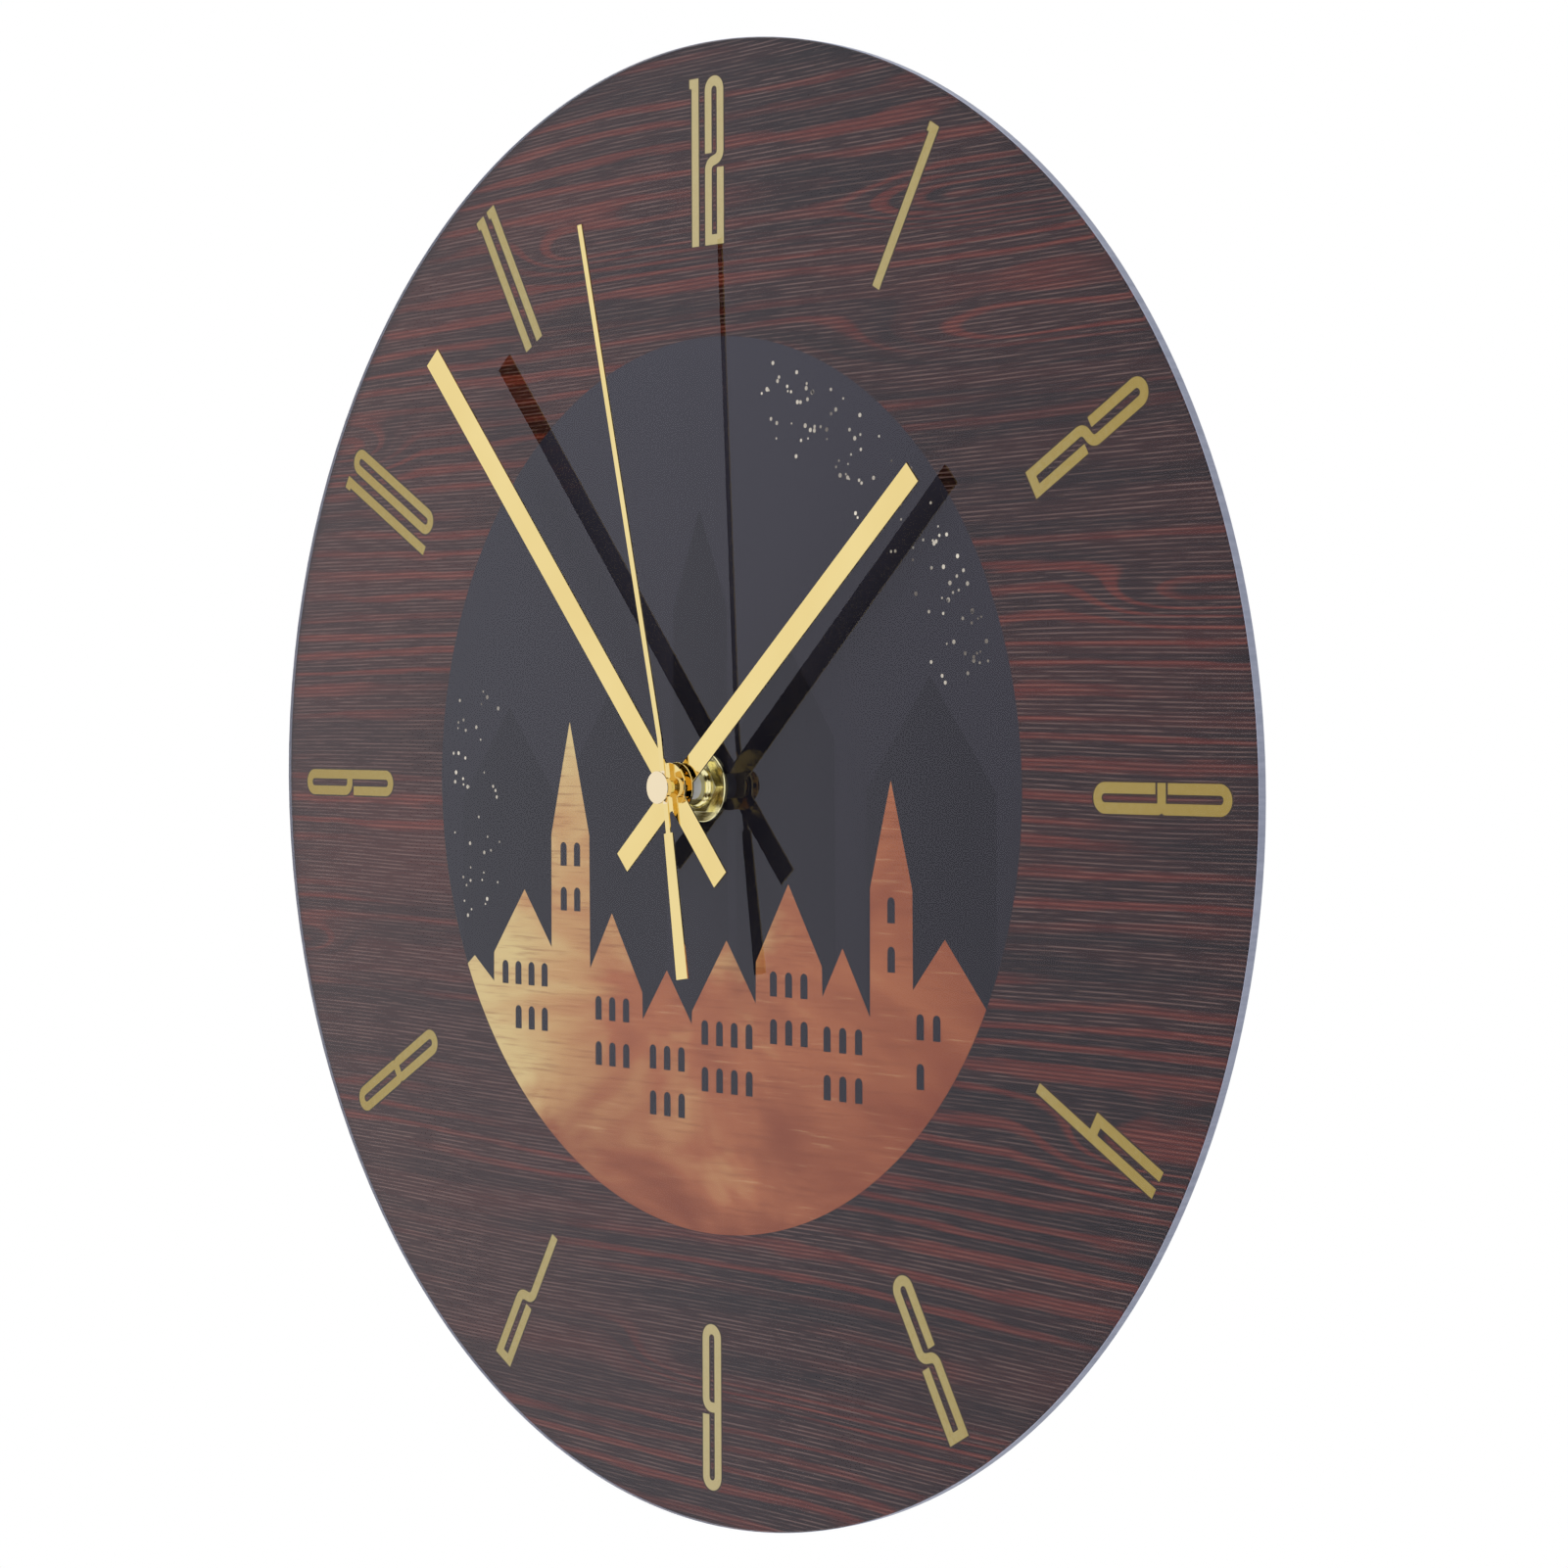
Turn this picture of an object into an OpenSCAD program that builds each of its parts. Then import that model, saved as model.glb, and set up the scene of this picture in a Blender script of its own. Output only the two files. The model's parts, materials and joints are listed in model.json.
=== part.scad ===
// Round acrylic wall clock. A clear disc with a printed back is clamped by a brass nut to the
// threaded neck of a quartz movement, which hangs on a nail and turns three gold baton hands.
// The modules draw in a bench frame: x to the right, y up, z from the wall towards the viewer,
// with the hands turning about the z axis. stand() then turns the clock upright.

/* [Dial] */
// Diameter of the acrylic disc
dial_d = 300; // [240:1:400]
// Thickness of the acrylic
acrylic_t = 1.8; // [1.5:0.1:4]
// Small bevel on the edge of the acrylic
edge_bevel = 0.25; // [0.1:0.05:0.5]
// Thickness of the printed film on the back
film_t = 0.2; // [0.1:0.05:0.4]

/* [Hands] */
// Thickness of the sheet that the hands are cut from
hand_t = 0.4; // [0.3:0.05:0.6]
// Round hub of the hour hand, diameter
hour_hub_d = 10; // [8:0.5:14]
// Hour hand, axis to tip
hour_reach = 90.7; // [70:0.1:120]
// Hour hand, axis to the end of the tail
hour_tail = 23.6; // [15:0.1:35]
// Hour hand, width at the hub
hour_hub_w = 4.95; // [3:0.05:7]
// Hour hand, width at the tip
hour_tip_w = 4.85; // [3:0.05:7]
// Hour hand, lean of its blade towards the dial, in degrees
hour_lean = 1.2; // [0:0.1:2]
// Hour hand, angle clockwise from twelve
hour_angle = 48.3; // [0:0.1:360]
// Minute hand, axis to tip
minute_reach = 120.8; // [90:0.1:145]
// Minute hand, axis to the end of the tail
minute_tail = 24; // [15:0.1:35]
// Minute hand, width at the hub
minute_hub_w = 4.85; // [3:0.05:7]
// Minute hand, width at the tip
minute_tip_w = 5.1; // [3:0.05:7]
// Minute hand, diameter of its round hub
minute_hub_d = 9.8; // [7:0.1:14]
// Minute hand, lean of its blade away from the dial, in degrees
minute_lean = 0.4; // [0:0.1:1]
// Minute hand, angle clockwise from twelve
minute_angle = 319.2; // [0:0.1:360]
// Second hand, axis to tip
second_reach = 114.6; // [90:0.1:145]
// Second hand, width of the needle
needle_w = 1.35; // [0.8:0.05:2.5]
// Second hand, axis to the end of the tail
second_tail = 38.7; // [25:0.1:50]
// Second hand, axis to the shoulder of the tail
shoulder_at = 9.2; // [7:0.1:14]
// Second hand, tail width at the shoulder
shoulder_w = 2.7; // [2:0.1:5]
// Second hand, tail width at its end
tail_end_w = 3.5; // [2:0.1:6]
// Second hand, axis to the bend of the needle
needle_bend = 10; // [6:0.5:16]
// Second hand, lean of the needle away from the dial, in degrees
second_lean = 4.5; // [0:0.1:6]
// Second hand, angle clockwise from twelve
second_angle = 351.9; // [0:0.1:360]
// Second hand, diameter of its round cap
cap_d = 6.6; // [5:0.1:9]
// Second hand, diameter of the tube under the cap
cap_tube_d = 4.3; // [2.4:0.1:4.6]
// Second hand, height of the cap above the blade
cap_rise = 1.4; // [1:0.1:3]

/* [Neck and stack] */
// Thread diameter of the brass neck
neck_d = 8; // [7:0.1:10]
// Brass washer, diameter
washer_d = 14.4; // [12:0.1:18]
// Brass washer, thickness
washer_t = 0.5; // [0.3:0.1:1]
// Nut, width across its flats
nut_af = 10.2; // [9.6:0.1:12]
// Nut, thickness
nut_t = 1.2; // [1:0.1:4]
// Rubber washer, diameter
pad_d = 24; // [18:0.5:40]
// Rubber washer, thickness
pad_t = 0.8; // [0.5:0.1:2]
// Length of thread that shows above the nut
thread_show = 1; // [0.3:0.1:3]
// Length of the nylon tube that shows behind the hour hand
tube_show = 4; // [3:0.1:6]
// Space between the hour and minute hands
minute_gap = 1.5; // [1:0.1:5]
// Space between the minute and second hands
second_gap = 1.05; // [0.6:0.05:3]

/* [Shafts] */
// Outer diameter of the nylon hour tube
tube_d = 5.1; // [4.6:0.1:6]
// Outer diameter of the brass centre arbor
arbor_d = 2.8; // [2.4:0.1:3.4]
// Diameter of the second pin
pin_d = 1; // [0.8:0.05:1.2]
// Diameter of the steel arbors of the train
staff_d = 1.2; // [1:0.05:1.6]
// Diameter of the pivots of the train
pivot_d = 0.8; // [0.6:0.05:0.9]
// Diameter of the arbor that carries the setting knob
setting_d = 2; // [1.6:0.1:3]

/* [Movement] */
// Wall of the movement housing
case_wall = 1.2; // [1:0.1:1.6]
// Corner radius of the movement housing
case_corner = 4; // [2:0.5:6]
// Diameter of the battery cell
cell_d = 14.5; // [14.3:0.1:16]
// Length of the battery cell with its button
cell_len = 50.5; // [50:0.1:60]
// Diameter of the setting knob
knob_d = 12; // [10:0.5:14]
// Depth of the circuit board
board_h = 6.4; // [5:0.1:10]
// Thickness of the circuit board
board_t = 0.8; // [0.6:0.1:1.2]
// Thickness of the plate that carries the front pivots
plate_t = 1; // [0.8:0.1:1.5]
// Thickness of the train wheels
wheel_t = 0.8; // [0.6:0.05:0.9]
// Thickness of the hour and minute wheels behind the dial
motion_t = 1; // [0.8:0.05:1.1]
// Outer diameter of the coil
coil_d = 6; // [5:0.1:6.4]
// Diameter of the rotor magnet
magnet_d = 6; // [4:0.1:6.4]
// Thickness of the stator sheet
stator_t = 0.8; // [0.5:0.05:1]
// Diameter of the hole for the nail head
nail_hole_d = 8; // [6:0.1:10]
// Width of the slot for the nail shank
nail_slot_w = 4; // [3:0.1:5]
// Thickness of the hanger
hanger_t = 2.5; // [2:0.1:4]

/* [Gear train] */
// Tooth module of rotor pinion and intermediate wheel
rotor_module = 0.25; // [0.24:0.005:0.27]
// Tooth module of intermediate pinion and second wheel
inter_module = 0.435; // [0.43:0.0025:0.44]
// Tooth module of second pinion and third wheel
third_module = 0.3; // [0.29:0.005:0.32]
// Tooth module of cannon pinion and minute wheel
motion_module = 0.45; // [0.44:0.005:0.48]

/* [Hidden] */
$fn = 64;

// Tooth counts. Second to rotor is 1 to 30, second to minute 60 to 1, minute to hour 12 to 1.
leaves = 8;
rotor_teeth = 48;
inter_teeth = 40;
third_teeth = 60;
centre_teeth = 64;
cannon_leaves = 12;
minute_teeth = 36;
minute_leaves = 10;
hour_teeth = 40;

// Tooth form in modules and in shares of the pitch
wheel_share = 0.44;
wheel_addendum = 1;
wheel_dedendum = 1.2;
wheel_tip = 0.35;
leaf_share = 0.36;
leaf_addendum = 0.55;
leaf_dedendum = 1.35;
leaf_tip = 0.5;

// Fits
run_fit = 0.05;
tube_fit = 0.1;
press_fit = 0.01;
hole_fit = 0.15;
layer_gap = 0.3;
end_shake = 0.1;
part_gap = 0.3;
leaf_over = 0.15;
contact_gap = 0.1;
clip_gap = 0.12;
// Room past a pivot or a peg in its blind hole
hole_room = 0.2;
// How far a cut runs past a face, and how far joined shapes sink into each other
over = 1;
sink = 0.1;

// Axes of the train, seen from the front
third_at = [-third_module * (leaves + third_teeth) / 2, 0];
inter_dir = -15;
inter_at = inter_module * (leaves + inter_teeth) / 2 * [cos(inter_dir), sin(inter_dir)];
rotor_dir = 60;
rotor_at = inter_at + rotor_module * (leaves + rotor_teeth) / 2 * [cos(rotor_dir), sin(rotor_dir)];
minute_at = [0, motion_module * (cannon_leaves + minute_teeth) / 2];
centre_module = third_module * (leaves + third_teeth) / (leaves + centre_teeth);
hour_module = motion_module * (cannon_leaves + minute_teeth) / (minute_leaves + hour_teeth);

// Tip radii of the wheels that set the room in the housing
third_r = third_module * (third_teeth / 2 + wheel_addendum);
centre_r = centre_module * (centre_teeth / 2 + wheel_addendum);
second_r = inter_module * (inter_teeth / 2 + wheel_addendum);

// Heights in the housing, from its front wall back
cell_room = 0.4;
case_t = cell_d + 2 * cell_room + case_wall;
front_in = case_t - case_wall;
flange_t = 0.8;
flange_rim = 1.5;
flange_d = neck_d + 2 * flange_rim;
hour_z1 = front_in - flange_t - layer_gap;
hour_z0 = hour_z1 - motion_t;
minute_z1 = hour_z0 - layer_gap;
minute_z0 = minute_z1 - motion_t;
plate_z1 = minute_z0 - layer_gap;
plate_z0 = plate_z1 - plate_t;
centre_z1 = plate_z0 - layer_gap;
centre_z0 = centre_z1 - wheel_t;
collar_t = 0.5;
collar_rim = 0.8;
collar_z0 = centre_z0 - collar_t;
third_z1 = collar_z0 - layer_gap;
third_z0 = third_z1 - wheel_t;
second_z1 = third_z0 - layer_gap;
second_z0 = second_z1 - wheel_t;
inter_z1 = second_z0 - layer_gap;
inter_z0 = inter_z1 - wheel_t;
bearing_z1 = inter_z0 - leaf_over - layer_gap;
well_z1 = inter_z0 - layer_gap;
well_z0 = well_z1 - case_wall;
split_z = case_t / 2;
pivot_len = 0.8;

// Rotor, stator and coil
magnet_t = 3;
magnet_z0 = inter_z1 + layer_gap + leaf_over;
stator_z0 = magnet_z0 + (magnet_t - stator_t) / 2;
air_gap = 0.5;
stator_rim = 1.9;
leg_w = 3.2;
leg_sink = 1;
leg_near = 3;
leg_far = 10.3;
coil_rise = 3.9;
core_t = 0.8;
core_w = 3;
leg_left = rotor_at[0] - leg_near;
leg_right = rotor_at[0] + leg_far;
coil_at = rotor_at[1] + magnet_d / 2 + air_gap + stator_rim + coil_d / 2 + coil_rise;
core_z0 = stator_z0 + stator_t;
core_mid = core_z0 + core_t / 2;
bobbin_x0 = leg_left + leg_w / 2 + part_gap;
bobbin_x1 = leg_right - leg_w / 2 - part_gap;
bobbin_t = 0.6;
bobbin_neck_d = 4;

// Outline of the housing
knob_r = knob_d / 2;
knob_z0 = part_gap;
knob_floor = 0.5;
well_r = knob_r + part_gap;
least_corner = 0.5;
board_lift = 2.8;
board_gap = 0.5;
board_side = 2;
train_gap = 0.7;
board_z0 = case_wall + board_lift;
board_z1 = board_z0 + board_t;
board_y0 = max(minute_at[1] + well_r + case_wall, coil_at + coil_d / 2 + bobbin_t) + board_gap;
board_y = board_y0 + board_h / 2;
case_top = board_y0 + board_h + part_gap + case_wall;
train_room = max(third_r, centre_r, second_r) + train_gap;
bay_y1 = -train_room - case_wall;
bay_y0 = bay_y1 - cell_d - 2 * cell_room;
cell_y = (bay_y0 + bay_y1) / 2;
cell_z = cell_room + cell_d / 2;
case_bottom = -bay_y0 + case_wall;
contact_t = 0.3;
contact_h = 5;
end_room = 1.55;
case_half_w = cell_len / 2 + end_room + case_wall;
inner_half_w = case_half_w - case_wall;
board_half_w = inner_half_w - contact_t - board_side;

// Clips on the side walls that hold the two halves of the housing together
clip_w = 6;
clip_t = 0.6;
clip_len = 3.4;
clip_bar = 1;
clip_at = [-9, 12];

// Posts that carry the plate, and the pins on them
post_d = 3.6;
peg_d = 1.6;
peg_len = 0.5;
post_off = [[-5.5, 4.5], [-2.4, 2.6], [6.3, 3.6]];
posts = [
  [third_at[0], third_r] + post_off[0],
  [third_at[0] - third_r, -train_room] + post_off[1],
  [rotor_at[0], -train_room] + post_off[2]
];
boss_d = 3;
coil_post_d = 2.8;
board_post_in = 4.8;

// Stack in front of the housing
film_z0 = case_t + pad_t;
acrylic_z0 = film_z0 + film_t;
dial_z = acrylic_z0 + acrylic_t;
nut_z0 = dial_z + washer_t;
neck_z1 = nut_z0 + nut_t + thread_show;
hour_hand_z0 = neck_z1 + tube_show;
minute_hand_z0 = hour_hand_z0 + hand_t + minute_gap;
minute_hand_z1 = minute_hand_z0 + hand_t;
arbor_z1 = minute_hand_z1 + second_gap / 3;
second_hand_z0 = minute_hand_z1 + second_gap;
cap_z0 = second_hand_z0 + hand_t + cap_rise;
neck_hole_d = neck_d + 2 * hole_fit;
nut_land = 0.75;
collet_wall = 1.1;
collet_d = arbor_d + 2 * collet_wall;
collet_gap = 0.4;
pin_short = 0.2;
pin_room = 0.05;
pin_z1 = cap_z0 - pin_short;

// Hanger
hanger_rise = 1;
hanger_rim = 7;
slot_run = 2.5;
hanger_y = case_top + nail_hole_d / 2 + hanger_rise;
hanger_r = nail_hole_d / 2 + hanger_rim;
slot_rise = nail_hole_d / 2 + slot_run;

// Colours
acrylic_colour = [0.80, 0.88, 0.90, 0.45];
print_colour = [0.24, 0.17, 0.15];
gold = [0.92, 0.82, 0.55];
brass = [0.80, 0.68, 0.32];
nylon = [0.93, 0.93, 0.91];
black = [0.12, 0.12, 0.13];
steel = [0.68, 0.69, 0.71];
board_green = [0.16, 0.34, 0.22];
copper = [0.72, 0.42, 0.24];
rubber_colour = [0.10, 0.10, 0.10];
sleeve = [0.20, 0.26, 0.40];

// Turns the bench frame upright: the dial then faces -Y.
module stand() {
  rotate([90, 0, 0]) children();
}

// A round bar or tube between two heights.
module rod(d, z0, z1, bore = 0) {
  translate([0, 0, z0]) difference() {
    cylinder(d = d, h = z1 - z0);
    if (bore > 0) translate([0, 0, -over]) cylinder(d = bore, h = z1 - z0 + 2 * over);
  }
}

// A flat outline raised between two heights.
module slab(z0, z1) {
  translate([0, 0, z0]) linear_extrude(z1 - z0) children();
}

// Rectangle between two corners with round corners.
module round_rect(x0, y0, x1, y1, r) {
  translate([x0 + r, y0]) square([x1 - x0 - 2 * r, y1 - y0]);
  translate([x0, y0 + r]) square([x1 - x0, y1 - y0 - 2 * r]);
  for (x = [x0 + r, x1 - r], y = [y0 + r, y1 - r]) translate([x, y]) circle(r);
}

function polar(r, a) = [r * cos(a), r * sin(a)];

// Outline of a toothed wheel: radial flanks below the pitch circle, drawn-in tips above it.
function tooth_ring(module_mm, count, share, addendum, dedendum, tip) =
  let (
    pitch_r = module_mm * count / 2,
    half = share * 180 / count,
    root = pitch_r - dedendum * module_mm,
    top = pitch_r + addendum * module_mm,
    steps = [[root, -1], [pitch_r, -1], [top, -tip], [top, tip], [pitch_r, 1], [root, 1]]
  )
  [for (i = [0 : count - 1], s = steps) polar(s[0], i * 360 / count + s[1] * half)];

function wheel_points(m, n) = tooth_ring(m, n, wheel_share, wheel_addendum, wheel_dedendum, wheel_tip);
function pinion_points(m, n) = tooth_ring(m, n, leaf_share, leaf_addendum, leaf_dedendum, leaf_tip);

// A wheel with one tooth space towards the given direction, and a pinion with one leaf there.
module wheel(m, n, z0, z1, dir, bore = 0) {
  slab(z0, z1) difference() {
    rotate(dir + 180 / n) polygon(wheel_points(m, n));
    if (bore > 0) circle(d = bore);
  }
}

module pinion(m, n, z0, z1, dir) {
  slab(z0, z1) rotate(dir) polygon(pinion_points(m, n));
}

// A steel staff with thinner pivots at its ends.
module staff(z0, z1) {
  rod(staff_d, z0, z1);
  rod(pivot_d, z0 - pivot_len, z1 + pivot_len);
}

// Outline of a baton hand that points up, from the end of its tail to its tip.
module blade(from, to, w_from, w_to) {
  polygon([[-w_from / 2, from], [w_from / 2, from], [w_to / 2, to], [-w_to / 2, to]]);
}

module point_to(clock_angle) {
  rotate(-clock_angle) children();
}

module dial_disc() {
  r = dial_d / 2;
  bore_r = neck_hole_d / 2;
  b = edge_bevel;
  stand() color(acrylic_colour) rotate_extrude($fn = 180) polygon([
    [bore_r, acrylic_z0], [r, acrylic_z0], [r, dial_z - b], [r - b, dial_z], [bore_r, dial_z]
  ]);
}

module printed_film() {
  stand() color(print_colour) rod(dial_d, film_z0, acrylic_z0, neck_hole_d, $fn = 180);
}

module rubber_washer() {
  stand() color(rubber_colour) rod(pad_d, case_t, film_z0, neck_hole_d);
}

module brass_washer() {
  stand() color(brass) rod(washer_d, dial_z, nut_z0, neck_hole_d);
}

module hex_nut() {
  corner_d = nut_af / cos(30);
  stand() color(brass) intersection() {
    slab(nut_z0, nut_z0 + nut_t) difference() {
      circle(d = corner_d, $fn = 6);
      circle(d = neck_d + 2 * press_fit);
    }
    // Turned chamfer on the corners of the front face
    rotate_extrude() polygon([
      [0, nut_z0], [corner_d / 2, nut_z0], [corner_d / 2, nut_z0 + nut_t * nut_land],
      [nut_af / 2, nut_z0 + nut_t], [0, nut_z0 + nut_t]
    ]);
  }
}

module threaded_bush() {
  tube_hole = tube_d + 2 * run_fit;
  bevel = 0.3;
  stand() color(brass) rotate_extrude() polygon([
    [tube_hole / 2, front_in - flange_t], [flange_d / 2, front_in - flange_t], [flange_d / 2, front_in],
    [neck_d / 2, front_in], [neck_d / 2, neck_z1 - bevel], [neck_d / 2 - bevel, neck_z1],
    [tube_hole / 2, neck_z1]
  ]);
}

module hour_hand() {
  z1 = hour_hand_z0 + hand_t;
  stand() color(gold) point_to(hour_angle) difference() {
    union() {
      rod(hour_hub_d, hour_hand_z0, z1);
      slab(hour_hand_z0, z1) blade(-hour_tail, 0, hour_tip_w, hour_hub_w);
      translate([0, 0, hour_hand_z0]) rotate([-hour_lean, 0, 0])
        slab(0, hand_t) blade(0, hour_reach, hour_hub_w, hour_tip_w);
    }
    rod(tube_d + 2 * press_fit, hour_hand_z0 - over, z1 + over);
  }
}

module minute_hand() {
  z0 = minute_hand_z0;
  collet_z0 = z0 - minute_gap + collet_gap;
  stand() color(gold) point_to(minute_angle) difference() {
    union() {
      rod(minute_hub_d, z0, minute_hand_z1);
      rod(collet_d, collet_z0, minute_hand_z1);
      slab(z0, minute_hand_z1) blade(-minute_tail, 0, minute_hub_w, minute_hub_w);
      translate([0, 0, z0]) rotate([minute_lean, 0, 0])
        slab(0, hand_t) blade(0, minute_reach, minute_hub_w, minute_tip_w);
    }
    rod(arbor_d + 2 * press_fit, collet_z0 - over, minute_hand_z1 + over);
  }
}

module second_hand() {
  z0 = second_hand_z0;
  stand() color(gold) point_to(second_angle) difference() {
    union() {
      rod(cap_d, cap_z0, cap_z0 + hand_t);
      rod(cap_tube_d, z0, cap_z0 + hand_t);
      slab(z0, z0 + hand_t) {
        blade(-second_tail, -shoulder_at, tail_end_w, shoulder_w);
        blade(-shoulder_at, needle_bend, needle_w, needle_w);
      }
      translate([0, needle_bend, z0]) rotate([second_lean, 0, 0])
        slab(0, hand_t) blade(0, second_reach - needle_bend, needle_w, needle_w);
    }
    rod(pin_d + 2 * press_fit, z0 - over, pin_z1 + pin_room);
  }
}

// Outline of the housing, drawn in by a wall where asked.
module case_outline(inset = 0) {
  round_rect(
    -case_half_w + inset, -case_bottom + inset, case_half_w - inset, case_top - inset,
    max(case_corner - inset, least_corner)
  );
}

// Wall between the train and the battery, with room at both ends for the contacts.
module bay_wall(z0, z1) {
  half = inner_half_w - contact_t - 2 * part_gap;
  slab(z0, z1) translate([-half, bay_y1]) square([2 * half, case_wall]);
}

// Block on a side wall, from deep under its face to proud of it.
module side_block(side, deep, proud, y, w, z0, z1) {
  mirror([side < 0 ? 1 : 0, 0, 0])
    translate([case_half_w - deep, y - w / 2, z0]) cube([deep + proud, w, z1 - z0]);
}

// Loop of the front half that reaches back over a lug of the rear half.
module clip_loop(side, y) {
  z0 = split_z - clip_len;
  difference() {
    side_block(side, clip_t, 0, y, clip_w, z0, split_z + sink);
    side_block(side, clip_t + over, over, y, clip_w - 2 * clip_bar, z0 + clip_bar, split_z - clip_bar);
  }
}

// Pocket in the rear half that the loop lies in.
module clip_pocket(side, y) {
  side_block(
    side, clip_t + clip_gap, over, y, clip_w + 2 * clip_gap,
    split_z - clip_len - clip_gap, split_z + over
  );
}

// Lug on the floor of the pocket.
module clip_lug(side, y) {
  margin = clip_bar + clip_gap;
  side_block(
    side, clip_t + clip_gap + sink, -clip_gap, y, clip_w - 2 * margin,
    split_z - clip_len + margin, split_z - margin
  );
}

module front_case() {
  stand() color(black) difference() {
    union() {
      difference() {
        slab(split_z, case_t) case_outline();
        slab(split_z - over, front_in) case_outline(case_wall);
      }
      bay_wall(split_z, front_in + sink);
      for (p = posts) translate(p) rod(post_d, plate_z1, front_in + sink);
      translate(minute_at) rod(boss_d, hour_z1 + layer_gap, front_in + sink);
      for (side = [-1, 1], y = clip_at) clip_loop(side, y);
    }
    rod(neck_d + 2 * press_fit, front_in - over, case_t + over);
    translate(minute_at) rod(pivot_d + 2 * run_fit, hour_z1, hour_z1 + layer_gap + pivot_len + hole_room);
    for (p = posts) translate(p) rod(peg_d + 2 * run_fit, plate_z1 - over, plate_z1 + peg_len + hole_room);
  }
}

// Keyhole plate that hooks over the nail.
module hanger() {
  slab(0, hanger_t) difference() {
    union() {
      translate([-hanger_r, case_top - case_wall]) square([2 * hanger_r, hanger_y - case_top + case_wall]);
      translate([0, hanger_y]) circle(hanger_r);
    }
    translate([0, hanger_y]) circle(d = nail_hole_d);
    translate([-nail_slot_w / 2, hanger_y]) square([nail_slot_w, slot_rise]);
    translate([0, hanger_y + slot_rise]) circle(d = nail_slot_w);
  }
}

// Blind bearing for a rear pivot, on the inside of the rear wall.
module rear_bearing(at, z1) {
  translate([at[0], at[1], 0]) difference() {
    rod(boss_d, case_wall - sink, z1);
    rod(pivot_d + 2 * run_fit, z1 - pivot_len - hole_room, z1 + over);
  }
}

module rear_cover() {
  stand() color(black) union() {
    difference() {
      union() {
        difference() {
          slab(0, split_z) case_outline();
          slab(case_wall, split_z + over) case_outline(case_wall);
        }
        translate(minute_at) rod(2 * (well_r + case_wall), 0, well_z1);
      }
      // Open back of the battery bay
      slab(-over, case_wall + over) translate([-inner_half_w, bay_y0])
        square([2 * inner_half_w, bay_y1 - bay_y0]);
      translate(minute_at) rod(2 * well_r, -over, well_z0);
      translate(minute_at) rod(setting_d + 2 * run_fit, -over, well_z1 + over);
      for (side = [-1, 1], y = clip_at) clip_pocket(side, y);
    }
    for (side = [-1, 1], y = clip_at) clip_lug(side, y);
    bay_wall(case_wall - sink, split_z);
    hanger();
    for (at = [[0, 0], third_at, inter_at, rotor_at]) rear_bearing(at, bearing_z1);
    for (p = posts) translate(p) {
      rod(post_d, case_wall - sink, plate_z0);
      rod(peg_d, plate_z0 - sink, plate_z1 + peg_len);
    }
    for (x = [leg_left, leg_right]) translate([x, coil_at, 0]) {
      rod(coil_post_d, case_wall - sink, stator_z0);
      rod(peg_d, stator_z0 - sink, core_z0 + core_t + peg_len);
    }
    for (side = [-1, 1]) translate([side * (board_half_w - board_post_in), board_y, 0])
      rod(post_d, case_wall - sink, board_z0);
  }
}

module middle_plate() {
  margin = 0.4;
  x0 = posts[1][0] - post_d / 2 - margin;
  x1 = posts[2][0] + post_d / 2 + margin;
  y0 = -train_room + margin;
  y1 = posts[0][1] + post_d / 2 + margin;
  coil_y0 = coil_at - coil_d / 2 - bobbin_t - 2 * part_gap;
  stand() color(nylon) slab(plate_z0, plate_z1) difference() {
    union() {
      translate([x0, y0]) square([x1 - x0, coil_y0 - y0]);
      translate([x0, y0]) square([leg_left - leg_w - x0, y1 - y0]);
    }
    circle(d = arbor_d + 2 * run_fit);
    for (p = [third_at, inter_at, rotor_at]) translate(p) circle(d = pivot_d + 2 * run_fit);
    translate(minute_at) circle(d = setting_d + 2 * run_fit);
    for (p = posts) translate(p) circle(d = peg_d + 2 * run_fit);
  }
}

module circuit_board() {
  stand() color(board_green) slab(board_z0, board_z1)
    translate([-board_half_w, board_y0]) square([2 * board_half_w, board_h]);
}

// Drop of black resin over the bare chip.
module chip_cover() {
  drop_x = -8;
  drop_r = 2.6;
  drop_h = 1.1;
  ball_r = (drop_r * drop_r + drop_h * drop_h) / (2 * drop_h);
  stand() color(black) translate([drop_x, board_y, board_z1]) intersection() {
    translate([0, 0, drop_h - ball_r]) sphere(ball_r);
    rod(2 * ball_r, 0, 2 * drop_h);
  }
}

module quartz_crystal() {
  can_x = 3;
  can_d = 2;
  can_len = 6;
  base_d = 1.6;
  base_len = 0.8;
  stand() color(steel) translate([can_x, board_y, board_z1 + can_d / 2]) rotate([0, 90, 0]) {
    rod(can_d, 0, can_len);
    rod(base_d, can_len - sink, can_len + base_len);
  }
}

module along_coil() {
  translate([0, coil_at, core_mid]) rotate([0, 90, 0]) children();
}

module coil_bobbin() {
  flange = coil_d + 2 * bobbin_t;
  stand() color(nylon) difference() {
    along_coil() {
      rod(bobbin_neck_d, bobbin_x0, bobbin_x1);
      rod(flange, bobbin_x0, bobbin_x0 + bobbin_t);
      rod(flange, bobbin_x1 - bobbin_t, bobbin_x1);
    }
    translate([bobbin_x0 - over, coil_at - core_w / 2 - run_fit, core_z0 - run_fit])
      cube([bobbin_x1 - bobbin_x0 + 2 * over, core_w + 2 * run_fit, core_t + 2 * run_fit]);
  }
}

module coil_winding() {
  stand() color(copper) along_coil()
    rod(coil_d, bobbin_x0 + bobbin_t, bobbin_x1 - bobbin_t, bobbin_neck_d + 2 * press_fit);
}

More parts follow.
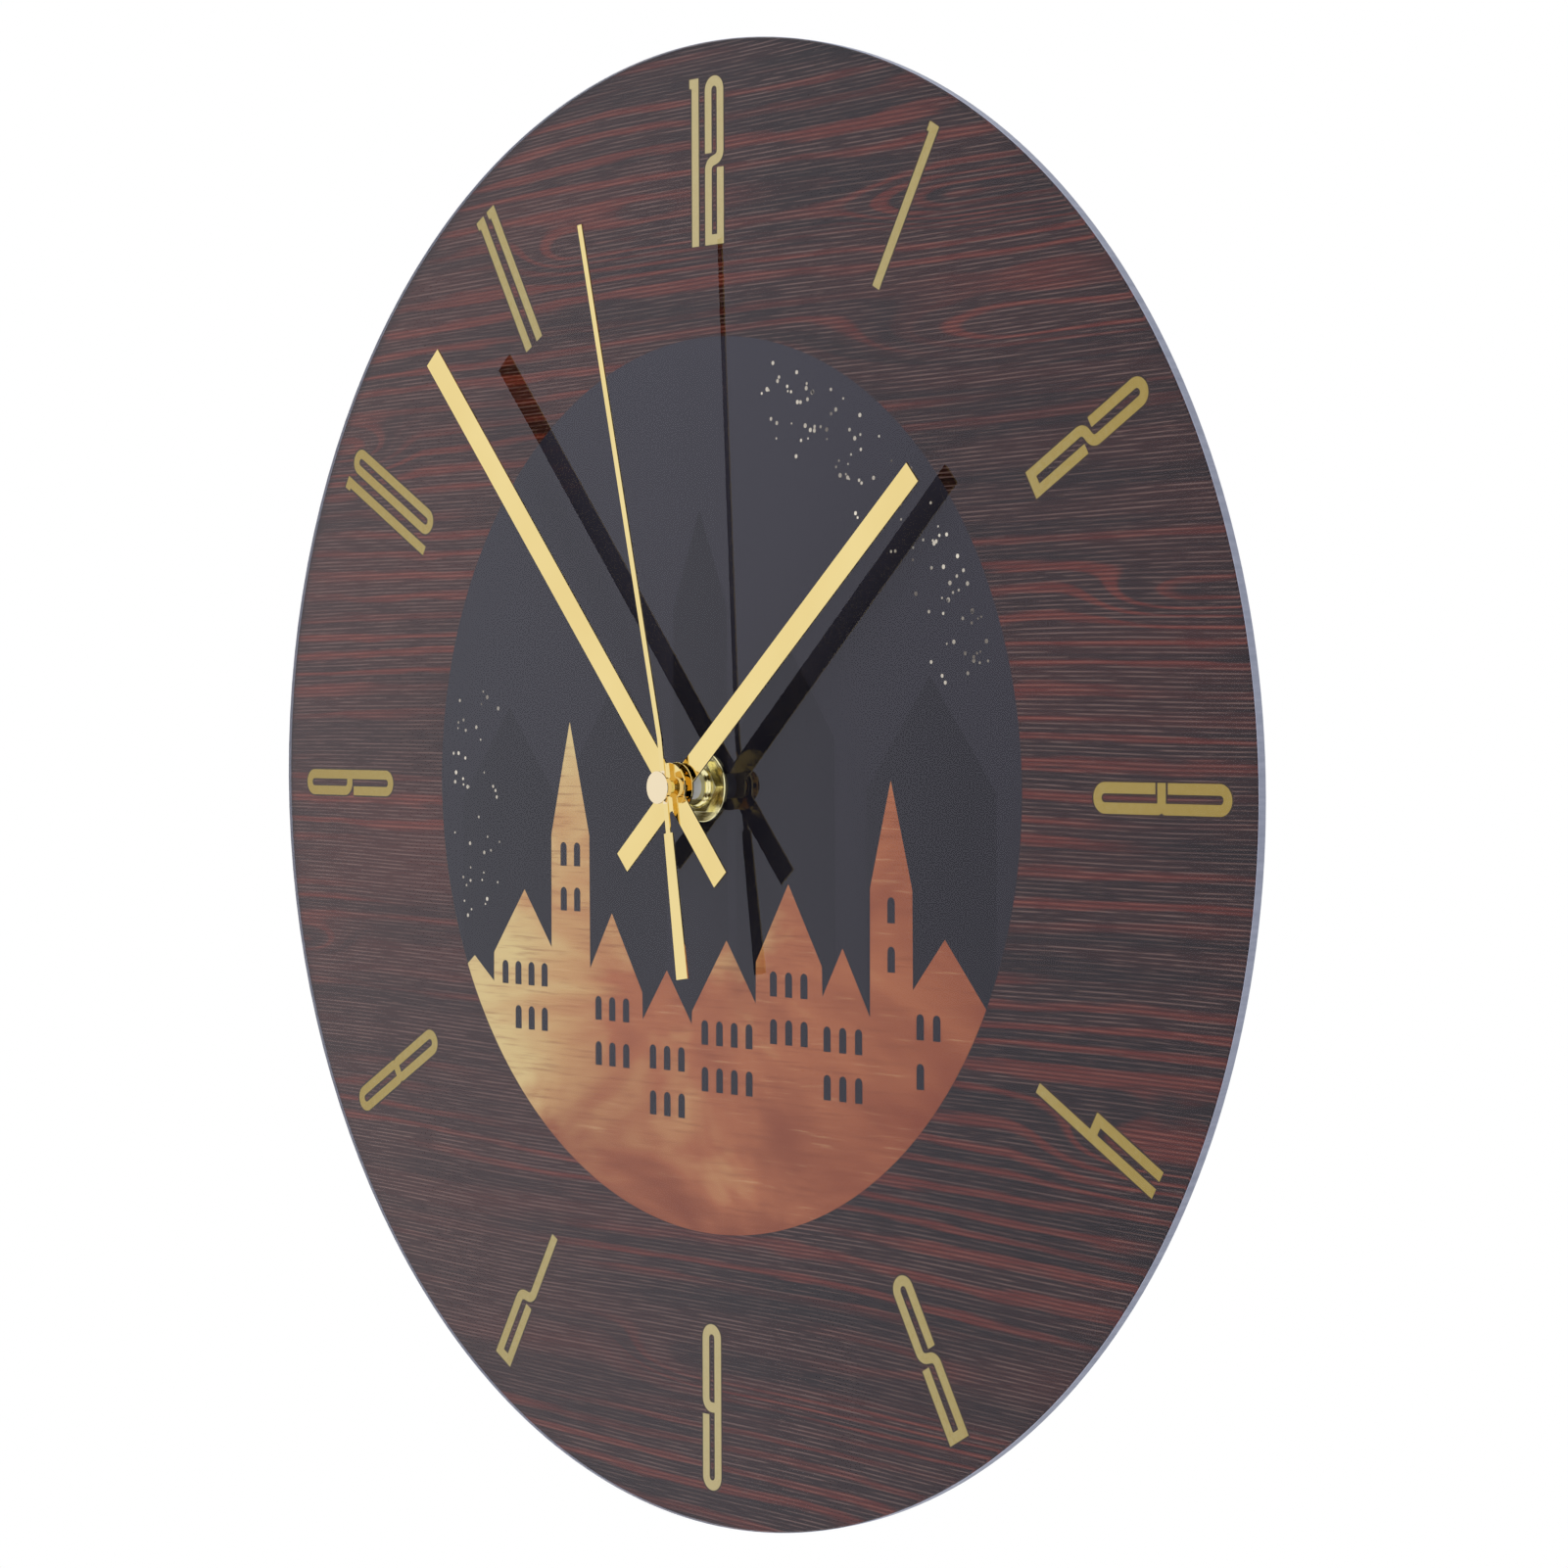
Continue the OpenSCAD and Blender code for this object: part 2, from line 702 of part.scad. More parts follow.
module coil_core() {
  stand() color(steel) slab(core_z0, core_z0 + core_t) difference() {
    translate([leg_left - leg_w / 2, coil_at - core_w / 2])
      square([leg_right - leg_left + leg_w, core_w]);
    for (x = [leg_left, leg_right]) translate([x, coil_at]) circle(d = peg_d + 2 * run_fit);
  }
}

// Soft iron sheet: a ring round the rotor and two legs that reach up to the ends of the coil core.
module stator() {
  hole_r = magnet_d / 2 + air_gap;
  rim_r = hole_r + stator_rim;
  leg_y0 = rotor_at[1] - leg_sink;
  stand() color(steel) slab(stator_z0, stator_z0 + stator_t) difference() {
    union() {
      translate(rotor_at) circle(rim_r);
      translate([rotor_at[0], rotor_at[1] - rim_r]) square([leg_right - rotor_at[0] + leg_w / 2, rim_r]);
      for (x = [leg_left, leg_right]) translate([x - leg_w / 2, leg_y0])
        square([leg_w, coil_at + core_w / 2 - leg_y0]);
    }
    translate(rotor_at) circle(hole_r);
    for (x = [leg_left, leg_right]) translate([x, coil_at]) circle(d = peg_d + 2 * run_fit);
  }
}

module rotor_magnet() {
  stand() color(steel) translate(rotor_at)
    rod(magnet_d, magnet_z0, magnet_z0 + magnet_t, staff_d + 2 * press_fit);
}

module rotor_pinion() {
  z0 = inter_z0 - leaf_over;
  z1 = inter_z1 + leaf_over;
  stand() color(steel) translate(rotor_at) {
    pinion(rotor_module, leaves, z0, z1, rotor_dir + 180);
    staff(bearing_z1 + end_shake, plate_z0 - end_shake);
  }
}

module intermediate_wheel() {
  z0 = second_z0 - leaf_over;
  z1 = second_z1 + leaf_over;
  stand() color(nylon) translate(inter_at) {
    wheel(rotor_module, rotor_teeth, inter_z0, inter_z1, rotor_dir);
    pinion(inter_module, leaves, z0, z1, inter_dir + 180);
    staff(bearing_z1 + end_shake, plate_z0 - end_shake);
  }
}

module second_wheel() {
  z0 = third_z0 - leaf_over;
  z1 = third_z1 + leaf_over;
  stand() color(nylon) {
    wheel(inter_module, inter_teeth, second_z0, second_z1, inter_dir);
    pinion(third_module, leaves, z0, z1, 180);
    rod(pin_d, bearing_z1 + end_shake, pin_z1);
    rod(pivot_d, bearing_z1 - pivot_len, second_z0);
  }
}

module third_wheel() {
  z0 = centre_z0 - leaf_over;
  z1 = centre_z1 + leaf_over;
  stand() color(nylon) translate(third_at) {
    wheel(third_module, third_teeth, third_z0, third_z1, 0);
    pinion(centre_module, leaves, z0, z1, 0);
    staff(bearing_z1 + end_shake, plate_z0 - end_shake);
  }
}

// Slips on the centre arbor when the hands are set.
module centre_wheel() {
  stand() color(nylon)
    wheel(centre_module, centre_teeth, centre_z0, centre_z1, 180, arbor_d + 2 * run_fit);
}

module centre_arbor() {
  pin_hole = pin_d + 2 * tube_fit;
  stand() color(brass) difference() {
    union() {
      rod(arbor_d, collar_z0, arbor_z1);
      rod(arbor_d + 2 * collar_rim, collar_z0, centre_z0 - run_fit);
      pinion(motion_module, cannon_leaves, minute_z0 - leaf_over, minute_z1 + leaf_over, 90);
    }
    rod(pin_hole, collar_z0 - over, arbor_z1 + over);
  }
}

module minute_wheel() {
  stand() color(nylon) translate(minute_at) {
    wheel(motion_module, minute_teeth, minute_z0, minute_z1, 270);
    pinion(hour_module, minute_leaves, minute_z1 - sink, hour_z1 + leaf_over, 270);
    rod(setting_d, knob_z0 + knob_floor, hour_z1 + layer_gap - end_shake);
    rod(pivot_d, hour_z1, hour_z1 + layer_gap + pivot_len - end_shake);
  }
}

module hour_wheel() {
  tube_hole = arbor_d + 2 * tube_fit;
  stand() color(nylon) {
    wheel(hour_module, hour_teeth, hour_z0, hour_z1, 90, tube_hole);
    rod(tube_d, hour_z0, hour_hand_z0 + hand_t, tube_hole);
  }
}

module setting_knob() {
  grips = 24;
  groove_r = 0.5;
  dish_rim = 1.5;
  dish_depth = 1.2;
  bar_w = 2;
  z0 = knob_z0;
  z1 = well_z0 - part_gap;
  stand() color(black) translate(minute_at) difference() {
    rod(knob_d, z0, z1);
    for (i = [0 : grips - 1]) translate(polar(knob_r, i * 360 / grips))
      rod(2 * groove_r, z0 - over, z1 + over, $fn = 16);
    // Dished back with a finger bar across it
    difference() {
      rod(knob_d - 2 * dish_rim, z0 - over, z0 + dish_depth);
      slab(z0 - 2 * over, z0 + 2 * dish_depth) square([knob_d, bar_w], center = true);
    }
    rod(setting_d + 2 * press_fit, z0 + knob_floor, z1 + over);
  }
}

// Bent leaf of sheet metal along a side wall, from the battery up to the circuit board.
module contact_leaf(side) {
  end_in = 3;
  flat_half = 1;
  foot_w = 2;
  foot_len = 1.5;
  wall_x = inner_half_w - contact_gap - contact_t;
  tip_x = cell_len / 2 + contact_gap;
  low = cell_y - cell_d / 2 + end_in;
  high = cell_y + cell_d / 2 - end_in;
  foot_x = board_half_w - foot_len;
  run = [
    [wall_x, low], [tip_x, cell_y - flat_half], [tip_x, cell_y + flat_half], [wall_x, high], [wall_x, board_y]
  ];
  back = [for (i = [len(run) - 1 : -1 : 0]) run[i] + [contact_t, 0]];
  mirror([side < 0 ? 1 : 0, 0, 0]) {
    slab(board_z1, board_z1 + contact_h) polygon(concat(run, back));
    slab(board_z1, board_z1 + contact_t) translate([foot_x, board_y - foot_w])
      square([wall_x + contact_t - foot_x, foot_w]);
  }
}

module contact_positive() {
  stand() color(steel) contact_leaf(1);
}

module contact_negative() {
  stand() color(steel) contact_leaf(-1);
}

module aa_battery() {
  button_d = 5.4;
  button_len = 1.4;
  step = 0.5;
  r = cell_d / 2;
  half = cell_len / 2;
  stand() color(sleeve) translate([0, cell_y, cell_z]) rotate([0, 90, 0]) rotate_extrude() polygon([
    [0, -half], [r - step, -half], [r, step - half], [r, half - button_len - step],
    [r - step, half - button_len], [button_d / 2, half - button_len], [button_d / 2, half], [0, half]
  ]);
}

dial_disc();
printed_film();
rubber_washer();
brass_washer();
hex_nut();
threaded_bush();
hour_hand();
minute_hand();
second_hand();
front_case();
rear_cover();
middle_plate();
circuit_board();
chip_cover();
quartz_crystal();
coil_bobbin();
coil_winding();
coil_core();
stator();
rotor_magnet();
rotor_pinion();
intermediate_wheel();
second_wheel();
third_wheel();
centre_wheel();
centre_arbor();
minute_wheel();
hour_wheel();
setting_knob();
contact_positive();
contact_negative();
aa_battery();
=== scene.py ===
# %% [markdown]
# # A round acrylic wall clock
# A clear acrylic disc, printed on its back, is clamped by a brass nut to a battery movement with gold
# baton hands. The solids come as a fixed frame, each part in its own named object that already sits in
# its place. This lesson adds what such a frame lacks: the print behind the acrylic, the frosted edge,
# threads, small marks, and a finish for every surface.

# %% Load the frame
import json
import math

import bmesh
import bpy
import numpy as np
from mathutils import Matrix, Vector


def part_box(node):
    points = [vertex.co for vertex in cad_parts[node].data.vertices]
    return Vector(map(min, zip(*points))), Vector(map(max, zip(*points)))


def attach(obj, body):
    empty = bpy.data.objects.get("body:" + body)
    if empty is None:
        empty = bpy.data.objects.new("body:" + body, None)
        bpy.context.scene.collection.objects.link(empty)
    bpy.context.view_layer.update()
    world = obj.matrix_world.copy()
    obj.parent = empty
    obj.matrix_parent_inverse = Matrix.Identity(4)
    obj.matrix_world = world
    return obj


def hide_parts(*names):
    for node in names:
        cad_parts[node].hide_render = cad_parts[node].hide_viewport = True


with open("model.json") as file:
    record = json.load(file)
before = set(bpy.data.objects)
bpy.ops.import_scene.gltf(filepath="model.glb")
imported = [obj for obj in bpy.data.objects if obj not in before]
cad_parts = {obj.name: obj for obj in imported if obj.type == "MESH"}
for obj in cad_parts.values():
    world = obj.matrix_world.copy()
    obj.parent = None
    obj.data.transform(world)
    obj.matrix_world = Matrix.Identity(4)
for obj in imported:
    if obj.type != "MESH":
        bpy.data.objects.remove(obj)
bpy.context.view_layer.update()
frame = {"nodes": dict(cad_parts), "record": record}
nodes = frame["nodes"]

# %% [markdown]
# ## Measures taken from the frame
# Everything that is added has to sit on the solids, so its place is read from their boxes and not
# written a second time. The clock faces -Y, so a smaller y is nearer to the viewer.

# %% Measures
MM = 0.001

dial_low, dial_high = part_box("dial_disc")
film_low, film_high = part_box("printed_film")
bush_low, bush_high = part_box("threaded_bush")
nut_low, nut_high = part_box("hex_nut")
washer_low, washer_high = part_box("brass_washer")
knob_low, knob_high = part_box("setting_knob")
cover_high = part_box("rear_cover")[1]
cell_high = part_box("aa_battery")[1]

dial_r = dial_high.x
face_y = dial_low.y
film_y = film_low.y
print("dial", round(2 * dial_r / MM, 1), "mm across, acrylic", round((film_y - face_y) / MM, 2), "mm")

# %% [markdown]
# ## From arrays to a mesh
# A surface is a grid of points, rows by columns, and four neighbours make a face. Both directions can
# wrap round, which turns a strip into a ring. NumPy works out all points and faces at once, and
# `from_pydata` takes them over. A closed shape then has its normals turned outwards.

# %% Mesh helpers
SAME_POINT = 1e-7


def full_turn(steps):
    """Angles once round, without the last, which is the first again."""
    return np.linspace(0, 2 * np.pi, steps, endpoint=False)


def on_circle(t):
    """Points of the unit circle, (cos t, sin t)."""
    return np.stack([np.cos(t), np.sin(t)], axis=-1)


def grid_faces(rows, columns, wrap_rows=False, wrap_columns=False):
    """Quads of a grid: point (i, j) joins (i+1, j), (i+1, j+1) and (i, j+1), modulo the size where
    it wraps."""
    i, j = np.meshgrid(
        np.arange(rows if wrap_rows else rows - 1),
        np.arange(columns if wrap_columns else columns - 1),
        indexing="ij",
    )
    next_i = (i + 1) % rows
    next_j = (j + 1) % columns
    quads = [i * columns + j, next_i * columns + j, next_i * columns + next_j, i * columns + next_j]
    return np.stack(quads, axis=-1).reshape(-1, 4).tolist()


def swept(sections, closed=False):
    """A section of k points carried along a path of n stations: a grid of n by k that wraps round the
    section, with a cap at both ends unless the path closes on itself."""
    rows, columns = sections.shape[:2]
    faces = grid_faces(rows, columns, wrap_rows=closed, wrap_columns=True)
    if not closed:
        faces += [list(range(columns)), list(range((rows - 1) * columns, rows * columns))]
    return sections.reshape(-1, 3), faces


def joined(shapes):
    """Several shapes as one: points in a row, each shape's faces counted on from the ones before."""
    starts = np.cumsum([0] + [len(points) for points, faces in shapes[:-1]])
    points = np.concatenate([points for points, faces in shapes])
    faces = [[corner + int(start) for corner in face] for start, (p, f) in zip(starts, shapes) for face in f]
    return points, faces


def linked(name, data):
    """A new object for a mesh, lamp or camera, placed in the scene."""
    thing = bpy.data.objects.new(name, data)
    bpy.context.scene.collection.objects.link(thing)
    return thing


def make_piece(name, shape, finish, body="clock", crease=35):
    """A mesh object at the origin from points and faces. Edges sharper than crease degrees stay sharp."""
    points, faces = shape
    mesh = bpy.data.meshes.new(name)
    mesh.from_pydata(np.asarray(points, float).tolist(), [], faces)
    shell = bmesh.new()
    shell.from_mesh(mesh)
    bmesh.ops.remove_doubles(shell, verts=shell.verts, dist=SAME_POINT)
    bmesh.ops.recalc_face_normals(shell, faces=shell.faces)
    shell.to_mesh(mesh)
    shell.free()
    mesh.shade_smooth()
    mesh.set_sharp_from_angle(angle=math.radians(crease))
    mesh.materials.append(finish)
    piece = linked(name, mesh)
    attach(piece, body)
    print("piece", name, len(mesh.vertices), "points", len(mesh.polygons), "faces")
    return piece


# %% [markdown]
# ## Shapes in the plane of the dial
# The print is a stack of ink layers, so its shapes are drawn in u to the right and v up, in millimetres
# from the axis of the hands, and get a depth in front of the film. Each layer is a very thin slab, which
# keeps the mesh closed. The layers lie just inside the clear disc: ink that wets the plastic has no air
# gap behind it, and then the only mirror is the front of the disc.

# %% Plane helpers
INK_STEP = 0.03
INK_T = 0.02
# ink layers, counted from the film to the front
WOOD_INK, PANEL_INK, SHADE_INK, MAIN_INK, DETAIL_INK = range(1, 6)


def on_dial(uv, depth):
    """(u, v) in millimetres and a depth in front of the film, as points of the frame in metres."""
    uv = np.asarray(uv, float)
    y = np.full(uv.shape[:-1], film_y - depth * MM)
    return np.stack([uv[..., 0] * MM, y, uv[..., 1] * MM], axis=-1)


def ink_levels(layer):
    """Back and front depth of an ink layer, counted from the film."""
    back = layer * INK_STEP
    return back, back + INK_T


def slab_section(left, right, layer):
    """Four points across a strip between two lines: front left, front right, back right, back left."""
    back, front = ink_levels(layer)
    return np.stack(
        [on_dial(left, front), on_dial(right, front), on_dial(right, back), on_dial(left, back)], axis=1
    )


def ring(inner, outer, layer, steps=256):
    """A flat ring: the strip between two circles r (cos t, sin t)."""
    around = on_circle(full_turn(steps))
    return swept(slab_section(inner * around, outer * around, layer), closed=True)


# %% [markdown]
# ## A short way to write node materials
# Every finish is a Principled shader fed by a few nodes. Writing them one by one hides the idea, so this
# helper gives each kind of node a short call that returns the socket to plug in next. All patterns read
# Object coordinates, which here are metres in the frame of the clock.


# %% Finish helper
class Nodes:
    """A node tree with a short call that adds a node and plugs it in."""

    def __init__(self, tree):
        self.tree = tree

    def node(self, kind, inputs=(), **settings):
        """A node of a kind, with settings, and inputs by name or number, each a value or a socket."""
        node = self.tree.nodes.new(kind)
        for key, value in settings.items():
            setattr(node, key, value)
        for key, value in dict(inputs).items():
            self.plug(value, node.inputs[key])
        return node

    def plug(self, value, socket):
        if isinstance(value, bpy.types.NodeSocket):
            self.tree.links.new(value, socket)
        else:
            socket.default_value = value

    def math(self, operation, a, b=0.0, c=0.0):
        return self.node("ShaderNodeMath", {0: a, 1: b, 2: c}, operation=operation).outputs["Value"]


class Finish(Nodes):
    """A material with one Principled shader and short calls for the nodes that feed it."""

    def __init__(self, name, **sockets):
        self.material = bpy.data.materials.new(name)
        self.material.use_nodes = True
        super().__init__(self.material.node_tree)
        self.shader = self.tree.nodes["Principled BSDF"]
        self.output = self.tree.nodes["Material Output"]
        for socket, value in sockets.items():
            self.shader.inputs[socket.replace("_", " ")].default_value = value
        self.place = self.node("ShaderNodeTexCoord").outputs["Object"]

    def feed(self, socket, value):
        self.plug(value, self.shader.inputs[socket])

    def mapped(self, scale, vector=None, turn=(0, 0, 0), shift=(0, 0, 0)):
        """Coordinates stretched by scale, so that a pattern runs longer where the scale is small."""
        inputs = {"Vector": vector or self.place, "Scale": scale, "Rotation": turn, "Location": shift}
        return self.node("ShaderNodeMapping", inputs).outputs["Vector"]

    def noise(self, vector, scale=1.0, detail=2.0, rough=0.5, distort=0.0):
        inputs = {"Vector": vector, "Scale": scale, "Detail": detail}
        inputs |= {"Roughness": rough, "Distortion": distort}
        return self.node("ShaderNodeTexNoise", inputs).outputs["Fac"]

    def ramp(self, fac, stops):
        """Colours between stops of (place, colour)."""
        node = self.node("ShaderNodeValToRGB", {"Fac": fac})
        elements = node.color_ramp.elements
        while len(elements) < len(stops):
            elements.new(0.5)
        for element, (place, colour) in zip(elements, stops):
            element.position = place
            element.color = (*colour, 1.0)
        return node.outputs["Color"]

    def between(self, noise, low, high):
        """The usual ramp: low and high colour at 0.3 and 0.7, since most of a noise lies between these."""
        return self.ramp(noise, [(0.3, low), (0.7, high)])

    def step(self, fac, low, high):
        """0 below low, 1 above high and a smooth rise between."""
        inputs = {"Value": fac, "From Min": low, "From Max": high}
        return self.node("ShaderNodeMapRange", inputs, interpolation_type="SMOOTHSTEP").outputs["Result"]

    def range(self, fac, low, high):
        """A factor of 0 to 1 spread from low to high."""
        inputs = {"Value": fac, "To Min": low, "To Max": high}
        return self.node("ShaderNodeMapRange", inputs).outputs["Result"]

    def times(self, a, b):
        return self.math("MULTIPLY", a, b)

    def axes(self, vector=None):
        return self.node("ShaderNodeSeparateXYZ", {"Vector": vector or self.place}).outputs

    def off_axis(self):
        """Distance from the axis of the hands, the root of x squared plus z squared."""
        x, y, z = self.axes()
        return self.math("SQRT", self.math("MULTIPLY_ADD", x, x, self.times(z, z)))

    def point(self, x, y, z):
        return self.node("ShaderNodeCombineXYZ", {"X": x, "Y": y, "Z": z}).outputs["Vector"]

    def mix(self, fac, a, b):
        node = self.node("ShaderNodeMix", {"Factor": fac}, data_type="RGBA")
        for name, value in (("A", a), ("B", b)):
            socket = [s for s in node.inputs if s.name == name and s.type == "RGBA"][0]
            self.plug(value if isinstance(value, bpy.types.NodeSocket) else (*value, 1.0), socket)
        return [s for s in node.outputs if s.type == "RGBA"][0]

    def bump(self, height, strength, distance):
        inputs = {"Height": height, "Strength": strength, "Distance": distance}
        self.feed("Normal", self.node("ShaderNodeBump", inputs).outputs["Normal"])


# %% [markdown]
# ## Inks
# Ink behind the acrylic touches it, so it shows its colour but no shine. All inks of the print start from
# this plain one. The simplest of them only varies between two colours.


# %% Ink finishes
def ink(name, rough=0.6):
    """A finish for ink behind the acrylic: rough, and without a mirror of its own."""
    return Finish(name, Roughness=rough, Specular_IOR_Level=0.0)


def mottled_ink(name, scale, low, high):
    """A noise, stretched by scale, between a low and a high colour."""
    mottled = ink(name)
    noise = mottled.noise(mottled.mapped(scale), detail=2.0)
    mottled.feed("Base Color", mottled.between(noise, low, high))
    return mottled.material


# %% [markdown]
# ## The wood grain of the print
# The print shows dark, close-grained wood with the grain running across. Wood lines are the contours of a
# height field, so the plan is to bend a field and then to draw its contours. There are two fields. The calm
# one is v itself, made to wander with a slow noise, and carries the fine lines. The bent one also rises in
# a few tongues: each tongue is a smooth step along u times a bell across v, and its contours are the
# nested arches of flat-sawn boards.

# %% Wood field
FAN = 0.15
WANDER = 7.0
TONGUES = [
    # tip at u, v, run towards the right (negative: left), half height, rise, all in millimetres
    (40, 112, 34, 5.5, 15),
    (-96, 74, -30, 5.0, 13),
    (20, 86, 70, 6.5, 17),
    (98, 36, 36, 4.5, 12),
    (84, -64, 40, 6.0, 13),
    (-118, -38, -26, 4.0, 10),
    (-42, -118, 40, 6.0, 13),
    (-70, 112, 28, 4.5, 11),
]


def wood_fields(wood):
    """Two sets of coordinates (x, 0, height) in metres: lines of equal height are lines of the grain."""
    x, y, z = wood.axes()
    field = wood.times(z, wood.math("MULTIPLY_ADD", x, -FAN, 1.0))
    slow = wood.noise(wood.mapped((6, 1, 11)), detail=1.0)
    field = wood.math("MULTIPLY_ADD", wood.math("SUBTRACT", slow, 0.5), WANDER * MM, field)
    calm = wood.point(x, 0.0, field)
    for u, v, run, half, rise in TONGUES:
        past_tip = wood.times(wood.math("SUBTRACT", x, u * MM), math.copysign(1, run))
        along = wood.step(past_tip, 0.0, abs(run) * MM)
        up = wood.math("DIVIDE", wood.math("SUBTRACT", z, v * MM), half * MM)
        bell = wood.math("POWER", math.e, wood.times(wood.times(up, up), -1.0))
        field = wood.math("MULTIPLY_ADD", wood.times(along, bell), rise * MM, field)
    return calm, wood.point(x, 0.0, field)


# %% [markdown]
# The contours are sines of the fields. A fine line comes every 0.85 mm, a noise shifts its phase so that
# the lines don't keep an even distance, and a second noise breaks it into dashes. The red arches are wider
# waves on the bent field. Slow noises choose where these show and where the wood has dark bands, short
# pores are a fine noise, and the left side gets a little rose colour on top.

# %% Wood print
LINE_PITCH = 0.85
LINE_SWAY = 7.0
ARCH_PITCH = 4.6
ARCH_SWAY = 16.0
GROUND_TONES = [
    (0.30, (0.0095, 0.0046, 0.0042)),
    (0.50, (0.0190, 0.0066, 0.0055)),
    (0.70, (0.0360, 0.0090, 0.0068)),
]
DARK_BAND = (0.0050, 0.0034, 0.0034)
RED_ARCH = (0.082, 0.0145, 0.0090)
FINE_LINE = (0.112, 0.069, 0.060)
FINE_LINE_ON_RED = (0.150, 0.052, 0.038)
GROOVE = (0.0055, 0.0035, 0.0032)
PORE = (0.085, 0.050, 0.042)
ROSE = (1.0, 0.25, 0.12)
ROSE_SHARE = 0.012
ROSE_NONE_AT = 30
ROSE_FULL_AT = -120


def contours(wood, field, pitch, shift, sway):
    """A sine wave of a pitch in millimetres along a field, with its phase shifted by a noise."""
    height = wood.axes(field)[2]
    phase = wood.math("MULTIPLY_ADD", height, 2 * math.pi / (pitch * MM), wood.times(shift, sway))
    return wood.math("SINE", phase)


def wood_print():
    """Ground, dark bands, red arches, fine lines, grooves, pores and rose, each mixed over the last."""
    wood = ink("wood_print")
    grain, bent = wood_fields(wood)
    zones = wood.noise(wood.mapped((4, 1, 46), grain), detail=2.0)
    warm = wood.noise(wood.mapped((6, 1, 60), bent, shift=(3, 0, 1)), detail=2.0)
    uneven = wood.noise(wood.mapped((7, 1, 75), bent, shift=(8, 0, 3)), detail=4.0, rough=0.6)
    shifted = wood.noise(wood.mapped((14, 1, 240), grain), detail=2.0)
    broken = wood.noise(wood.mapped((85, 1, 1000), grain, shift=(1, 0, 5)), detail=3.0, rough=0.6)
    bands = wood.noise(wood.mapped((7, 1, 150), bent, shift=(2, 0, 6)), detail=3.0, rough=0.55)
    pores = wood.noise(wood.mapped((150, 1, 2600), grain), detail=2.0, rough=0.6)
    wave = contours(wood, grain, LINE_PITCH, shifted, LINE_SWAY)
    arches = contours(wood, bent, ARCH_PITCH, uneven, ARCH_SWAY)

    dark = wood.step(bands, 0.56, 0.38)
    red = wood.times(wood.step(arches, 0.0, 0.95), wood.step(warm, 0.40, 0.58))
    line = wood.times(wood.step(wave, 0.25, 0.98), wood.step(broken, 0.36, 0.60))
    line_share = wood.times(line, wood.range(dark, 0.85, 0.45))
    line_colour = wood.mix(red, FINE_LINE, FINE_LINE_ON_RED)
    side = wood.step(wood.axes()[0], ROSE_NONE_AT * MM, ROSE_FULL_AT * MM)

    colour = wood.mix(wood.times(dark, 0.8), wood.ramp(zones, GROUND_TONES), DARK_BAND)
    colour = wood.mix(wood.times(red, 0.85), colour, RED_ARCH)
    colour = wood.mix(line_share, colour, line_colour)
    colour = wood.mix(wood.times(wood.step(wave, -0.2, -0.9), 0.45), colour, GROOVE)
    colour = wood.mix(wood.times(wood.step(pores, 0.60, 0.72), 0.45), colour, PORE)
    wood.feed("Base Color", wood.mix(wood.times(side, ROSE_SHARE), colour, ROSE))
    return wood.material


HOLE_R = 4.15
RIM_GAP = 0.08

wood_ring = ring(HOLE_R, dial_r / MM - RIM_GAP, WOOD_INK)
make_piece("wood_grain_print", wood_ring, wood_print())

# %% [markdown]
# ## The dark round panel
# In the middle the print has a round charcoal panel. It is one more ink layer, a disc with a hole for the
# neck. It gets paler towards the top, and a slow cloud keeps it from being one flat grey.

# %% Panel print
PANEL_R = 90.8
PANEL_LOW = (0.2, (0.0060, 0.0055, 0.0075))
PANEL_HIGH = (0.75, (0.0208, 0.0195, 0.0280))
PANEL_RISE = 2.4
PANEL_CLOUD = 0.35
PANEL_BASE = 0.28


def panel_print():
    """A ramp over base + cloud share * cloud + rise * z."""
    panel = ink("panel_print")
    x, y, z = panel.axes()
    cloud = panel.noise(panel.mapped((9, 1, 6)), detail=2.0)
    mean = panel.math("MULTIPLY_ADD", cloud, PANEL_CLOUD, PANEL_BASE)
    high = panel.math("MULTIPLY_ADD", z, PANEL_RISE, mean)
    panel.feed("Base Color", panel.ramp(high, [PANEL_LOW, PANEL_HIGH]))
    return panel.material


night = panel_print()
make_piece("panel_print", ring(HOLE_R, PANEL_R, PANEL_INK), night)

# %% [markdown]
# ## A town at night
# On the panel stands a generic old town: gabled houses and two watch towers. A skyline is the highest of
# all roofs over each place u, so it is one formula: the maximum over the houses of eave plus rise times
# (1 - distance from the ridge over half the width). The strip between that line and the rim of the panel
# is a grid of two rows. A second, taller row of roofs stands behind it as a faint shade.

# %% Skyline
HOUSES = [
    # ridge at u, width, eave height, ridge height
    (-79, 32, -50, -38),
    (-61, 22, -37, -23),
    (-45, 13, -11, 13),
    (-31, 20, -43, -27),
    (-13, 21, -52, -38),
    (6, 22, -46, -31),
    (25, 20, -35, -19),
    (41, 17, -45, -31),
    (55, 12, -19, 2),
    (70, 23, -41, -28),
    (86, 16, -54, -44),
]
FAR_HOUSES = [
    (-66, 34, -4, 16),
    (-28, 30, 4, 24),
    (-2, 17, 36, 56),
    (24, 30, 10, 30),
    (66, 36, 0, 22),
]
GROUND = -56


